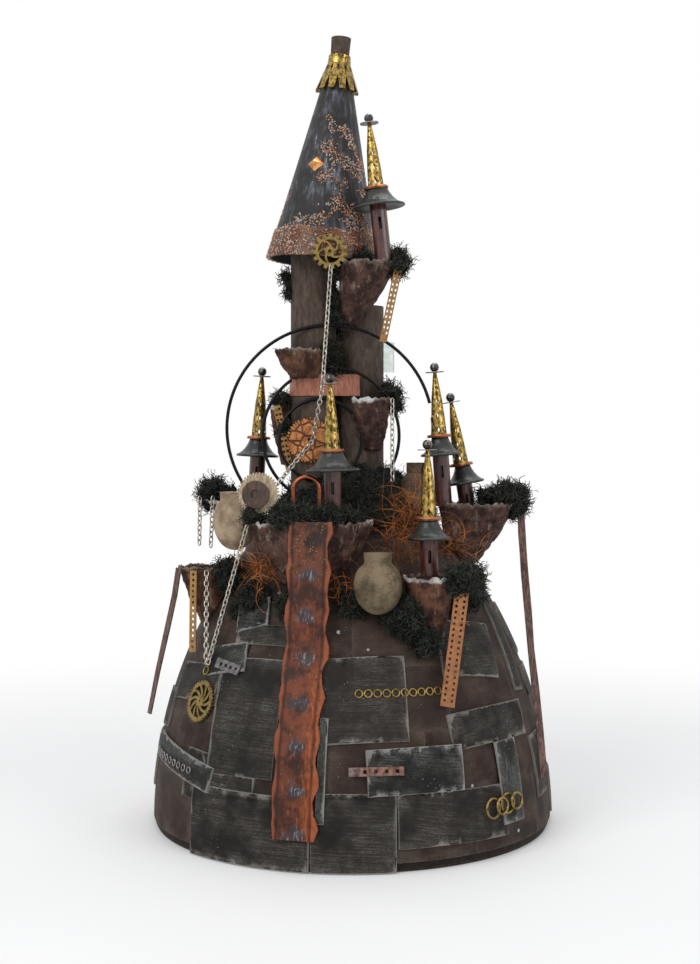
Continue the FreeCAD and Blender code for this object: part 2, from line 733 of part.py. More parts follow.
def seated(shape, azimuth, height, others, tilt=0.0):
    """Lays a flat piece, made with its back on the plane y = 0, against what the dome carries there."""
    outward = size("card_thickness") * 4
    frame = on_dome(azimuth, height, outward, tilt)
    normal = frame.Rotation.multVec(Vector(0, -1, 0))
    placed = shape.copy()
    placed.Placement = frame.multiply(shape.Placement)
    for _ in range(3):
        gap = nearest_gap(placed, others)
        if gap < 0.06:
            break
        placed.translate(normal * (0.04 - gap))
    return placed


def make_wheels():
    """The gears on the front, apart from the pendant."""
    thick, deep = size("gear_thick"), size("tooth_deep")
    wheels = {}
    brass = spoked(size("gear_top_radius"), size("gear_top_teeth"), 3.2, thick, 0.66, 4.6, 1.6, 5, 50)
    wheels["gear_brass"] = facing(brass, -20, -68.7, 526)
    clock = cogs(size("gear_clock_radius"), size("gear_clock_teeth"), deep, thick, 1.6)
    wheels["gear_clock"] = facing(clock, -39.5, size("keep_left_y") - size("roll_radius") - 0.1, 356)
    wood = cogs(size("gear_wood_radius"), size("gear_wood_teeth"), deep, thick, 1.6)
    wheels["gear_wood"] = facing(wood, -82, -106, 309, 6, -8)
    hub = Part.makeCylinder(size("hub_radius"), size("hub_thick")).cut(Part.makeCylinder(4.2, 9, Vector(0, 0, 1.4)))
    hub = facing(hub, -83.5, -106, 308, 6, -8)
    hub.translate(hub.Placement.Rotation.multVec(Vector(0, 0, thick)) + Vector(0, -0.05, 0))
    wheels["gear_wood_hub"] = hub
    return wheels


def free_degrees(rings, stand, tools):
    """Whether each whole degree of some rings about one axis is clear of the tools; a ring is its radius and height."""
    clear = [True] * 360
    for reach, height in rings:
        left = Part.makeCircle(reach, Vector(0, 0, height))
        left.Placement = stand
        left = clear_of(left, tools)
        open_here = [False] * 360
        for edge in left.Edges:
            first, last = (math.degrees(t) for t in edge.ParameterRange)
            for degree in range(math.ceil(first), math.floor(last) + 1):
                open_here[degree % 360] = True
        clear = [a and b for a, b in zip(clear, open_here)]
    return clear


def make_hoops(tools):
    """Three wire hoops that stand in one plane before the rolls, in arcs that stop where something is in their way."""
    wire = size("hoop_wire")
    y = size("keep_left_y") - size("roll_radius") - wire - 0.1
    skin, shortest = wire * 0.96, 4
    arcs = []
    for x, z, name in ((-20.5, 367, "hoop_large"), (-19.5, 360, "hoop_middle"), (-29, 356, "hoop_small")):
        reach = size(name)
        stand = Placement(Vector(x, y, z), Rotation(Vector(1, 0, 0), 90))
        free = free_degrees(((reach + skin, 0), (reach - skin, 0), (reach, skin), (reach, -skin)), stand, tools)
        start = free.index(False)
        run = 0
        for step in range(start, start + 361):
            if step < start + 360 and free[step % 360]:
                run += 1
            elif run:
                if run > shortest:
                    arc = Part.makeTorus(reach, wire, Vector(), Vector(0, 0, 1), 0, 360, run - 1)
                    arc.Placement = stand * Placement(Vector(), Rotation(Vector(0, 0, 1), step - run))
                    arcs.append(arc)
                run = 0
    return Part.makeCompound(arcs)


def make_gourds(tools):
    """Two dried gourds with flat necks and one squat pot."""
    def ball(x, y, z, reach, tall):
        shape = Part.makeSphere(reach)
        stretch = FreeCAD.Matrix()
        stretch.scale(Vector(1, 1, tall / reach))
        shape = shape.transformGeometry(stretch)
        shape.translate(Vector(x, y, z))
        return shape

    front = ball(22, -142, 232, 20.8, 24.5).fuse(Part.makeCylinder(6.5, 8, Vector(22, -142, 253)))
    left = ball(-104, -84, 284, 20, 26)
    pot = ball(59.5, -30, 303, 16, 27).fuse(Part.makeCylinder(9, 9, Vector(59.5, -30, 326)))
    gap = 0.3

    def set_apart(shape, push):
        moved = [tool.copy() for tool in tools]
        for tool in moved:
            tool.translate(push * gap)
        return clear_of(shape, tools + moved)

    return {
        "gourd_front": set_apart(front, Vector(0, -1, 0)), "gourd_left": set_apart(left, Vector(-1, 0, 0)),
        "pot_right": set_apart(pot, Vector(0, 0, 0)),
    }


def chain_link():
    """One flat eight-sided chain link, its long way on X and its flat faces up and down."""
    long, wide, wire = size("link_long") / 2, size("link_wide") / 2, size("link_wire")
    corner = wide * 0.55

    def ring(a, b, c):
        return [Vector(x, y, -wire / 2) for x, y in (
            (a, b - c), (a - c, b), (c - a, b), (-a, b - c), (-a, c - b), (c - a, -b), (a - c, -b), (a, c - b))]

    outer = prism(ring(long, wide, corner), Vector(0, 0, wire))
    return outer.cut(prism(ring(long - wire, wide - wire, corner * 0.6), Vector(0, 0, wire)))


def chain(points, slack=0.0):
    """Links threaded one through the next along a path of straight runs, each turned a quarter round."""
    link = chain_link()
    pitch = size("link_long") - 2 * size("link_wire") - 0.3
    spots = [Vector(*p) for p in points]
    lengths = [(b - a).Length for a, b in zip(spots, spots[1:])]
    whole = sum(lengths)
    count = int(whole / pitch)
    links = []
    for i in range(count):
        travel = (i + 0.5) * whole / count
        run = 0
        while run < len(lengths) - 1 and travel > lengths[run]:
            travel -= lengths[run]
            run += 1
        along = (spots[run + 1] - spots[run]).normalize()
        middle = spots[run] + along * travel
        turn = Rotation(Vector(1, 0, 0), along) * Rotation(Vector(1, 0, 0), 45 + 90 * (i % 2))
        one = link.copy()
        one.Placement = Placement(middle, turn)
        links.append(one)
    return Part.makeCompound(links)


def ribbon(path, wide, thick, wave=0.0, azimuth=None):
    """A strip whose back follows a path; in an azimuth's plane the path is (reach, height), else (x, y, z, turn)."""
    sections = []
    for i, spot in enumerate(path):
        if azimuth is None:
            frame = Placement(Vector(*spot[:3]), Rotation(UP, spot[3]))
        else:
            frame = Placement(Vector(), Rotation(UP, azimuth)).multiply(Placement(Vector(0, -spot[0], spot[1]), Rotation()))
        half = wide / 2 + wave * math.sin(i * 1.9)
        shift = wave * 0.6 * math.sin(i * 1.3 + 1)
        corners = [(shift - half, 0), (shift + half, 0), (shift + half, -thick), (shift - half, -thick)]
        sections.append([frame.multVec(Vector(x, y, 0)) for x, y in corners])
    faces = [Part.Face(Part.makePolygon(sections[0] + sections[0][:1]))]
    faces.append(Part.Face(Part.makePolygon(sections[-1] + sections[-1][:1])))
    for a, b in zip(sections, sections[1:]):
        for j in range(4):
            k = (j + 1) % 4
            for corner in ((a[j], a[k], b[k]), (a[j], b[k], b[j])):
                faces.append(Part.Face(Part.makePolygon(list(corner) + [corner[0]])))
    shape = solid_of(faces)
    return shape if shape.Volume > 0 else shape.reversed()


def punched(length, wide, thick, rows, hole, pitch):
    """A flat bar with rows of square holes, hanging down from z = 0 with its back on y = 0."""
    bar = Part.makeBox(wide, thick, length, Vector(-wide / 2, -thick, -length))
    gap = wide / rows
    holes = []
    for i in range(int((length - 2) / pitch)):
        for row in range(rows):
            corner = Vector((row + 0.5) * gap - wide / 2 - hole / 2, -2 * thick, -(i + 0.5) * pitch - 1 - hole / 2)
            holes.append(Part.makeBox(hole, 3 * thick, hole, corner))
    return bar.cut(Part.makeCompound(holes))


def aimed(shape, start, end, turn=0.0):
    """Hangs a piece that runs down from z = 0 between two points, its face turned about its length."""
    top, foot = Vector(*start), Vector(*end)
    shape = shape.copy()
    shape.Placement = Placement(top, Rotation(Vector(0, 0, -1), foot - top) * Rotation(UP, turn))
    return shape


def dome_blank():
    """The room that the dome, its first plates and the deck take up, as one plain solid."""
    thick, high = size("card_thickness"), size("dome_height")
    low_point, high_point = Vector(dome_reach(0, thick), 0, 0), Vector(dome_reach(high, thick), 0, high)
    arc = Part.Arc(low_point, Vector(dome_reach(high / 2, thick), 0, high / 2), high_point).toShape()
    closing = Part.makePolygon([high_point, Vector(0, 0, high), Vector(), low_point])
    blank = Part.Face(Part.Wire([arc] + closing.Edges)).revolve(Vector(), UP, 360)
    return blank.fuse(Part.makeCylinder(dome_reach(high), size("deck_thickness"), Vector(0, 0, high)))


def make_collar():
    """The card collar: round the left roll's front, then straight on before the right roll."""
    x, y = size("keep_left_x"), size("keep_left_y")
    inner, thick = size("roll_radius") + 0.2, 1.2
    back, front = [], []
    for i in range(9):
        a = math.radians(190 + 90 * i / 8)
        ray = Vector(math.cos(a), math.sin(a), 0)
        back.append(Vector(x, y, size("collar_low")) + ray * inner)
        front.append(Vector(x, y, size("collar_low")) + ray * (inner + thick))
    ahead = Vector(-math.sin(a), math.cos(a), 0) * size("collar_tail")
    back.append(back[-1] + ahead)
    front.append(front[-1] + ahead)
    return prism(back + front[::-1], Vector(0, 0, size("collar_tall")))


def make_arch(x, y, low, reach, wire, leg):
    """A wire bent into an upright arch."""
    arch = Part.makeTorus(reach, wire, Vector(x, y, low + leg), Vector(0, 1, 0))
    arch = arch.common(Part.makeBox(4 * reach, 4 * wire, 2 * reach, Vector(x - 2 * reach, y - 2 * wire, low + leg)))
    for side in (-reach, reach):
        arch = arch.fuse(Part.makeCylinder(wire, leg, Vector(x + side, y, low)))
    return arch.removeSplitter()


def make_banners():
    """The wide wavy banner down the front and the two thin ones at the sides."""
    turn = -14.8
    path = []
    outward = 3 * size("card_thickness") + 0.6
    for i in range(26):
        height = 286 - i * (286 - 27) / 25
        if height > 176:
            reach = 140.5 + (dome_reach(176, outward) - 140.5) * (286 - height) / 110
        else:
            reach = dome_reach(height, outward)
        path.append((reach, height))
    front = ribbon(path, size("banner_wide"), size("banner_thick"), size("banner_wave"), turn)
    right = ribbon([
        (156, -34, 292, 30), (157, -36, 268, 10), (159, -42, 235, -25), (161, -49, 200, 5), (162.5, -56, 166, 35),
        (166, -64, 130, 5), (169, -71, 92, 20), (171.5, -77.5, 54, 25),
    ], 7, 1.4)
    left = ribbon([
        (-156.8, -59.5, 240, -50), (-161.5, -52.7, 214, -50), (-170, -42, 180, -50), (-180, -31, 140, -55), (-189, -20, 100, -60),
    ], 8, 1.2)
    return {"banner_front": front, "banner_right": right, "banner_left": left}


def make_trims(skin):
    """The bars, link row, ring row, loops and pendant that lie on the dome's plates."""
    thick = size("bar_thick")
    across = Rotation(Vector(0, 1, 0), 90)

    def lying(length, wide, deep, rows, hole, pitch):
        bar = punched(length, wide, deep, rows, hole, pitch)
        bar.Placement = Placement(Vector(length / 2, 0, 0), across)
        return bar

    bars = [
        seated(lying(31, size("bar_wide"), thick, 1, 3.0, 6.6), -42.6, 160, skin, -8),
        seated(lying(46, size("bar_wide") * 0.8, thick, 1, 3.0, 9.0), 6.3, 83.4, skin),
    ]
    rows = []
    for i in range(11):
        azimuth = 2.0 + i * 2.75
        eye = Part.makeTorus(3.1, 0.7).fuse(Part.makeBox(1.1, 1.4, 1.2, Vector(2.7, -0.7, -0.6)))
        eye.Placement = Placement(Vector(0, -0.75, 0), Rotation(Vector(1, 0, 0), 90))
        rows.append(seated(eye, azimuth, 145, skin))
    rings = []
    for i in range(9):
        ring = Part.makeTorus(2.6, 0.7)
        ring.Placement = Placement(Vector(0, -0.75, 0), Rotation(Vector(1, 0, 0), 90))
        rings.append(seated(ring, -72 + i * 2.75, 74.5 - i * 0.55, skin))
    loops = []
    for i in range(4):
        ring = Part.makeTorus(8.1 - (i % 2) * 1.4, 1.1)
        ring.Placement = Placement(Vector((i - 1.5) * 9.4, -1.2 - 2.3 * (i % 2), 0), Rotation(Vector(1, 0, 0), 90))
        loops.append(ring)
    loops = seated(Part.makeCompound(loops), 43.5, 45, skin, 4)
    pendant = spoked(size("pendant_radius"), size("pendant_teeth"), 1.2, size("pendant_thick"), 0.76, 3.4, 1.0, 10, 40)
    pendant.Placement = Placement(Vector(), Rotation(Vector(1, 0, 0), 90))
    jump = Part.makeTorus(3.6, 0.8)
    jump.Placement = Placement(Vector(0, -0.8, 0), Rotation(Vector(1, 0, 0), 90))
    return {
        "pendant_ring": seated(jump, -52.5, 153.5, skin),
        "connector_bars": Part.makeCompound(bars), "brass_link_row": Part.makeCompound(rows),
        "ring_row": Part.makeCompound(rings), "brass_loops": loops,
        "pendant_gear": seated(pendant, -51.7, 128, skin),
    }


def make_strips():
    """The punched strips that hang from the cups."""
    wide, thick = size("strip_wide"), size("strip_thick")
    hole, pitch = size("strip_hole"), size("strip_pitch")
    spots = (
        ("strip_high", (42.5, -63.5, 515), (28, -50, 446), 30, wide - 1, 2),
        ("strip_left", (-70, -24.2, 388), (-58, -25.5, 328), -10, wide - 2, 2),
        ("strip_far_left", (-143, -66.0, 238), (-143.5, -69.0, 165), -25, wide - 2, 1),
        ("strip_copper", (95.5, -129.5, 236), (80, -152, 131), 25, wide + 5, 2),
    )
    strips = []
    for name, start, end, turn, across, rows in spots:
        length = (Vector(*end) - Vector(*start)).Length
        strips.append(aimed(punched(length, across, thick, rows, hole, pitch), start, end, turn))
    return strips


def faceted_ball(x, y, z, radius):
    """A faceted ball."""
    rings = [Vector(x, y, z - radius)]
    around, levels = 10, 6
    for level in range(1, levels):
        tip = math.pi * level / levels
        ring = []
        for i in range(around):
            a = 2 * math.pi * i / around
            reach = radius * math.sin(tip)
            ring.append(Vector(x + reach * math.cos(a), y + reach * math.sin(a), z - radius * math.cos(tip)))
        rings.append(ring)
    rings.append(Vector(x, y, z + radius))
    faces = []
    for i in range(around):
        k = (i + 1) % around
        faces.append([rings[0], rings[1][i], rings[1][k]])
        faces.append([rings[-1], rings[-2][k], rings[-2][i]])
        for low, high in zip(rings[1:-2], rings[2:-1]):
            faces.append([low[i], high[i], high[k], low[k]])
    ball = solid_of([Part.Face(Part.makePolygon(face + face[:1])) for face in faces])
    return ball if ball.Volume > 0 else ball.reversed()


def make_moss(tools):
    """Clumps of moss that fill the room between their neighbours."""
    made = []
    profile = [(0, 276.2), (79, 276.2), (76, 288), (64, 302), (46, 322), (22, 334), (0, 335)]
    points = [Vector(reach, 0, height) for reach, height in profile]
    mound = Part.Face(Part.makePolygon(points + points[:1])).revolve(Vector(), UP, 360)
    shapes = {"moss_mound": [mound]}
    for label, clumps in MOSS.items():
        shapes[label] = [faceted_ball(c.x, c.y, c.z, c.radius) for c in clumps]
    for label, lumps in shapes.items():
        kept = []
        for lump in lumps:
            left_over = clear_of(lump, tools + made)
            if left_over.Solids:
                kept += only_large(left_over, 0.1).Solids
                made += kept[-1:]
        held(label, Part.makeCompound(kept))


def finish():
    """Checks every object and writes each named sub-part to its own file."""
    doc.recompute()
    for thing in doc.Objects:
        if "Invalid" in thing.State or "Error" in thing.State:
            raise RuntimeError(f"{thing.Label} is in the state {thing.State}")
    os.makedirs("parts", exist_ok=True)
    for thing in nodes:
        if not thing.Shape.isValid() or not thing.Shape.Solids or thing.Shape.Volume <= 0:
            raise RuntimeError(f"{thing.Label} has no sound shape")
        thing.Shape.exportStep(f"parts/{thing.Label}.step")


fill_sheet()
make_dome()
make_rolls()
make_spire()
blank = dome_blank()
room = doc.addObject("Part::Feature", "dome_room")
room.Shape = blank
make_towers(room)
doc.recompute()
shapes = {thing.Label: thing.Shape for thing in nodes}
wheels = make_wheels()
standing = [shapes[name] for name in shapes if name.startswith(("keep_", "upper_", "spire_"))]
standing += shapes["tower_shafts"].Solids
cups = list(make_cups([blank] + standing + list(wheels.values())).values())
first = first_course_plates()
second, third = upper_plates(cups)
held("plates_first", Part.makeCompound(first))
held("plates_second", Part.makeCompound(second))
held("plates_third", Part.makeCompound(third))
for label, shape in wheels.items():
    held(label, shape)
gourds = make_gourds([blank] + standing + cups)
held("gourds", Part.makeCompound([gourds["gourd_front"], gourds["gourd_left"]]))
held("squat_pot", gourds["pot_right"])
collar = clear_of(make_collar(), cups)
held("roll_collar", collar)
roofs = [solid for name in ("tower_roofs", "tower_rings", "tower_laces") for solid in shapes[name].Solids]
hoops = make_hoops([blank, collar] + standing + roofs + cups + list(wheels.values()) + list(gourds.values()))
held("wire_hoops", hoops)
banners = make_banners()
held("banner_front", banners["banner_front"])
held("side_banners", Part.makeCompound([banners["banner_right"], banners["banner_left"]]))
trims = make_trims(first + second + third)
for label, shape in trims.items():
    held(label, shape)
strips = make_strips()
held("gold_strips", Part.makeCompound(strips[:3]))
held("copper_strip", strips[3])
arch = make_arch(-40, -105, size("cup_front_rim") - size("cup_recess"), size("arch_radius"), size("arch_wire"), size("arch_leg"))
held("copper_arch", arch)
vial = Part.makeCylinder(5, 28, Vector(size("keep_right_x") + size("roll_radius") + 5.05, size("keep_right_y"), 420))
held("glass_vial", vial)

ring_spot = trims["pendant_ring"].BoundBox.Center


def hung(x, y, z):
    """A straight chain run from a point down to just short of the pendant's ring."""
    start = Vector(x, y, z)
    return [tuple(start), tuple(ring_spot + (start - ring_spot).normalize() * 5.8)]


CHAINS = {
    "chain_spire": [[(-19, -73.7, 513), (-27, -64, 402), (-36, -46, 356), (-66, -88, 317)]],
    "chain_pendant": [
        hung(-91, -115.5, 282), hung(-131, -69.6, 238),
    ],
    "chain_strands": [
        [(-142.5, -18.5, 303), (-143, -19, 258)], [(-130, -22.4, 303), (-132, -23, 256)], [(37, -42.6, 394), (37, -47, 318)],
    ],
}
corridors = []
for label, runs in CHAINS.items():
    held(label, Part.makeCompound([chain(run) for run in runs]))
    for run in runs:
        for a, b in zip(run, run[1:]):
            along = Vector(*b) - Vector(*a)
            ahead = Vector(along).normalize() * 1.6
            corridors.append(Part.makeCylinder(2.65, along.Length + 3.2, Vector(*a) - ahead, along))
others = list(gourds.values()) + list(wheels.values()) + list(banners.values()) + strips
make_moss([blank] + second + third + standing + cups + [collar, hoops, arch, vial] + others + corridors)
finish()
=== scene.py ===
"""Dresses the cardboard castle: card plates, pulp cups, roll towers, spire, small towers, trimmings and moss.

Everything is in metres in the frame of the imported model, with the front towards -Y.
"""
from __future__ import annotations

import bisect
import logging
import math
import random
from dataclasses import dataclass
from enum import Enum
from typing import Any, Callable, Sequence

import bpy
import numpy as np
from mathutils import Matrix, Vector, noise

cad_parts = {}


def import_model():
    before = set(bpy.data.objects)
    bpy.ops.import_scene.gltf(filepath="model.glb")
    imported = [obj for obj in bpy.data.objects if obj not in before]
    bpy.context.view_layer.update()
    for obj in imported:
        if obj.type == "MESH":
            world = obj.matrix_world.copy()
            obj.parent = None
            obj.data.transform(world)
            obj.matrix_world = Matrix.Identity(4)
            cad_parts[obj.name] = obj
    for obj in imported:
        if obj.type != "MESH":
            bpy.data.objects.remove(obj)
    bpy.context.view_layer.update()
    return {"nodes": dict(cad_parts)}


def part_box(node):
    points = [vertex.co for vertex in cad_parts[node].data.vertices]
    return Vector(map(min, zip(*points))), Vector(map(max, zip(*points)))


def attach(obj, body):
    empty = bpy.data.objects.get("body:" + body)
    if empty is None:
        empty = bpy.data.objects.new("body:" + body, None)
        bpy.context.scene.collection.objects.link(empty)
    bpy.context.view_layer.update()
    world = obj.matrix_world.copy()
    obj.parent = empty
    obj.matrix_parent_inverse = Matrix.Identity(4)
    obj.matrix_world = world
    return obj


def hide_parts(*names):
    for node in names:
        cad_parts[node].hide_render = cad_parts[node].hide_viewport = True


LOG = logging.getLogger("castle")
ROOT = "root"
TAPER = 0.86
SHARE_OF_DEGREE = 0.0035
BELL_FOOT = -0.09
Colour = tuple[float, float, float]


def shade(red: int, green: int, blue: int) -> Colour:
    """Turns a screen colour of 0 to 255 into the linear one that a shader takes.

    Args:
        red: the screen colour's red.
        green: its green.
        blue: its blue.

    Returns:
        The linear colour.
    """
    def channel(value: int) -> float:
        """Makes one channel linear."""
        part = value / 255
        return part / 12.92 if part <= 0.04045 else ((part + 0.055) / 1.055) ** 2.4

    return channel(red), channel(green), channel(blue)


class Level:
    """A number that varies over a surface: a shader socket with arithmetic."""

    def __init__(self, bench: "Bench", socket: bpy.types.NodeSocket) -> None:
        """Keeps the material's bench and the socket."""
        self.bench = bench
        self.socket = socket

    def _join(self, operation: str, first: Any, second: Any) -> "Level":
        """Adds one Math node on two values or levels."""
        made = self.bench.add("ShaderNodeMath", {"operation": operation}, {0: first, 1: second})
        return Level(self.bench, made.outputs[0])

    def __add__(self, other: Any) -> "Level":
        """Adds."""
        return self._join("ADD", self, other)

    __radd__ = __add__

    def __sub__(self, other: Any) -> "Level":
        """Takes the other away."""
        return self._join("SUBTRACT", self, other)

    def __rsub__(self, other: Any) -> "Level":
        """Takes this away from the other."""
        return self._join("SUBTRACT", other, self)

    def __mul__(self, other: Any) -> "Level":
        """Multiplies."""
        return self._join("MULTIPLY", self, other)

    __rmul__ = __mul__

    def __pow__(self, other: Any) -> "Level":
        """Raises to a power."""
        return self._join("POWER", self, other)

    def lower(self, other: Any) -> "Level":
        """Gives the lower of the two."""
        return self._join("MINIMUM", self, other)

    def higher(self, other: Any) -> "Level":
        """Gives the higher of the two."""
        return self._join("MAXIMUM", self, other)

    def size(self) -> "Level":
        """Gives the size without its sign."""
        return self._join("ABSOLUTE", self, 0.0)

    def wave(self) -> "Level":
        """Gives the sine."""
        return self._join("SINE", self, 0.0)

    def step(self, low: float, high: float) -> "Level":
        """Rises smoothly from 0 at low to 1 at high, or falls if low is the higher.

        Args:
            low: where the new level is 0.
            high: where it is 1.

        Returns:
            The new level.
        """
        flipped = low > high
        ends = (high, low) if flipped else (low, high)
        settings = {"interpolation_type": "SMOOTHSTEP"}
        inputs = {"Value": self, "From Min": ends[0], "From Max": ends[1]}
        made = self.bench.add("ShaderNodeMapRange", settings, inputs)
        level = Level(self.bench, made.outputs[0])
        return 1 - level if flipped else level


class Bench:
    """The workbench of one material: it adds nodes and joins them up."""

    def __init__(self, name: str, world: bool = False) -> None:
        """Makes an empty material, or world, with its shader.

        Args:
            name: the material's name.
            world: whether it is the world round the castle.
        """
        self.material = (bpy.data.worlds if world else bpy.data.materials).new(name)
        self.material.use_nodes = True
        self.nodes = self.material.node_tree.nodes
        self.links = self.material.node_tree.links
        self.shader = self.nodes["Background" if world else "Principled BSDF"]
        self.place = self.add("ShaderNodeTexCoord").outputs["Object"]

    def add(self, kind: str, settings: dict[str, Any] | None = None,
            inputs: dict[Any, Any] | None = None) -> bpy.types.Node:
        """Adds a node, sets it up, then sets or links its sockets.

        Args:
            kind: the node's type.
            settings: its own settings; a ramp's stops go under "stops".
            inputs: values or links by socket name or number.

        Returns:
            The new node.
        """
        made = self.nodes.new(kind)
        for name, value in (settings or {}).items():
            if name == "stops":
                self._fill_ramp(made.color_ramp, value)
            else:
                setattr(made, name, value)
        for name, value in (inputs or {}).items():
            self.feed(made.inputs[name], value)
        return made

    @staticmethod
    def _fill_ramp(ramp: bpy.types.ColorRamp, stops: Sequence[tuple[float, Colour]]) -> None:
        """Writes the stops of a colour ramp.

        Args:
            ramp: the ramp.
            stops: each stop's place and colour.
        """
        for i, (spot, colour) in enumerate(stops):
            stop = ramp.elements[i] if i < 2 else ramp.elements.new(spot)
            stop.position = spot
            stop.color = (*colour, 1)

    def feed(self, socket: bpy.types.NodeSocket, value: Any) -> None:
        """Sets a socket, or links it to what feeds it.

        Args:
            socket: the socket.
            value: a level, a socket, a colour or a number.
        """
        if isinstance(value, Level):
            self.links.new(value.socket, socket)
        elif isinstance(value, bpy.types.NodeSocket):
            self.links.new(value, socket)
        elif socket.type == "RGBA":
            socket.default_value = (*value[:3], 1)
        else:
            socket.default_value = value

    def stretched(self, scale: Sequence[float], source: Any = None) -> bpy.types.NodeSocket:
        """Gives coordinates that are stretched along each axis."""
        made = self.add("ShaderNodeMapping", {}, {"Vector": source or self.place, "Scale": Vector(scale)})
        return made.outputs[0]

    def speckle(self, scale: float, detail: float = 3.0, rough: float = 0.6, source: Any = None) -> Level:
        """Gives a noise level around a half."""
        inputs = {"Vector": source or self.place, "Scale": scale, "Detail": detail, "Roughness": rough}
        return Level(self, self.add("ShaderNodeTexNoise", {}, inputs).outputs[0])

    def cells(self, scale: float, source: Any = None, edge: bool = False) -> Level:
        """Gives the distance to the nearest cell point, or to the nearest cell border.

        Args:
            scale: how many cells there are to a metre.
            source: the coordinates, or None for the object's own.
            edge: whether the border is meant.

        Returns:
            The distance as a level.
        """
        settings = {"feature": "DISTANCE_TO_EDGE" if edge else "F1"}
        made = self.add("ShaderNodeTexVoronoi", settings, {"Vector": source or self.place, "Scale": scale})
        return Level(self, made.outputs["Distance"])

    def told(self, name: str) -> Level:
        """Reads one of the piece's own attributes."""
        made = self.add("ShaderNodeAttribute", {"attribute_name": name})
        return Level(self, made.outputs["Fac"])

    def apart(self, source: Any) -> tuple[Level, Level, Level]:
        """Splits a vector into its three levels."""
        made = self.add("ShaderNodeSeparateXYZ", {}, {0: source})
        return tuple(Level(self, out) for out in made.outputs)

    def ramp(self, level: Level, stops: Sequence[tuple[float, Colour]]) -> bpy.types.NodeSocket:
        """Turns a level into a colour."""
        return self.add("ShaderNodeValToRGB", {"stops": stops}, {0: level}).outputs[0]

    def mix(self, share: Any, first: Any, second: Any) -> bpy.types.NodeSocket:
        """Mixes two colours by a share."""
        made = self.add("ShaderNodeMix", {"data_type": "RGBA"}, {0: share, 6: first, 7: second})
        return made.outputs[2]

    def bump(self, height: Level, depth: float) -> bpy.types.NodeSocket:
        """Gives a normal that is roughened by a height, in metres.

        Args:
            height: the height.
            depth: how many metres a height of 1 stands for.

        Returns:
            The normal.
        """
        return self.add("ShaderNodeBump", {}, {"Height": height, "Distance": depth, "Strength": 1.0}).outputs[0]

    def done(self, colour: Any, rough: Any, normal: Any = None, metal: Any = 0.0,
             **fixed: float) -> bpy.types.Material:
        """Feeds the shader and gives the finished material.

        Args:
            colour: the base colour.
            rough: the roughness.
            normal: the normal, if it is roughened.
            metal: the share of metal.
            fixed: other sockets, by name, that are the same all over.

        Returns:
            The finished material.
        """
        self.feed(self.shader.inputs["Base Color"], colour)
        self.feed(self.shader.inputs["Roughness"], rough)
        self.feed(self.shader.inputs["Metallic"], metal)
        if normal is not None:
            self.feed(self.shader.inputs["Normal"], normal)
        for name, value in fixed.items():
            self.shader.inputs[name.replace("_", " ").title().replace("Ior", "IOR")].default_value = value
        return self.material


@dataclass(frozen=True)
class CardFinish:
    """Painted card, dry-brushed with silver along each card, with pale worn edges and white specks."""

    name: str
    dark: Colour
    light: Colour
    brushed: Colour
    edge: Colour
    silver: float

    def material(self) -> bpy.types.Material:
        """Builds the material from the card's own map, its size and its tone.

        Returns:
            The material.
        """
        bench = Bench(self.name)
        chart = bench.add("ShaderNodeUVMap", {"uv_map": "card"}).outputs[0]
        along, across, _ = bench.apart(chart)
        tone, wide, tall = bench.told("tone"), bench.told("wide"), bench.told("tall")
        joined = bench.add("ShaderNodeCombineXYZ", {}, {0: along * wide, 1: across * tall, 2: tone * 3.0}).outputs[0]
        streaks = bench.speckle(1.0, 6.0, 0.78, bench.stretched((34, 900, 1), joined))
        fine = bench.speckle(1.0, 5.0, 0.75, bench.stretched((240, 2600, 1), joined))
        grain = bench.speckle(700.0, 4.0, 0.7)
        patches = bench.speckle(38.0, 3.0, 0.6, joined)
        flecks, blots = bench.cells(330.0, joined), bench.cells(42.0, joined)
        near = ((0.5 - (along - 0.5).size()) * wide).lower((0.5 - (across - 0.5).size()) * tall)
        soft = (near + (grain - 0.5) * 0.004).step(0.011, -0.002) * patches.step(0.2, 0.75)
        brushed = (streaks * 0.45 + fine * 0.35 + grain * 0.2).step(0.45, 0.66)
        brushed = brushed * patches.step(0.34, 0.74) * self.silver
        base = bench.mix(patches.step(0.3, 0.7), self.dark, self.light)
        toned = bench.mix((tone * 1.2).lower(1.0), base, bench.mix(0.5, self.light, base))
        colour = bench.mix(brushed, toned, self.brushed)
        colour = bench.mix(soft * (grain.step(0.35, 0.65) * 0.4 + 0.08), colour, self.brushed)
        worn = (bench.told("rim") + (grain - 0.5) * 0.6).step(0.62, 1.05)
        colour = bench.mix(worn * (patches * 0.6 + 0.2), colour, self.edge)
        dabs = blots.step(0.085, 0.05) * bench.speckle(9.0).step(0.55, 0.6) * bench.speckle(300.0).step(0.4, 0.5)
        colour = bench.mix(dabs * 0.8, colour, shade(196, 200, 204))
        dots = flecks.step(0.13, 0.07) * bench.speckle(24.0).step(0.56, 0.66)
        colour = bench.mix(dots * 0.85, colour, shade(205, 205, 203))
        height = streaks * 0.5 + fine * 0.3 + patches * 0.6
        rough = 0.62 - brushed * 0.16 + patches * 0.12
        return bench.done(colour, rough, bench.bump(height, 0.0005), 0.0, specular_ior_level=0.16)


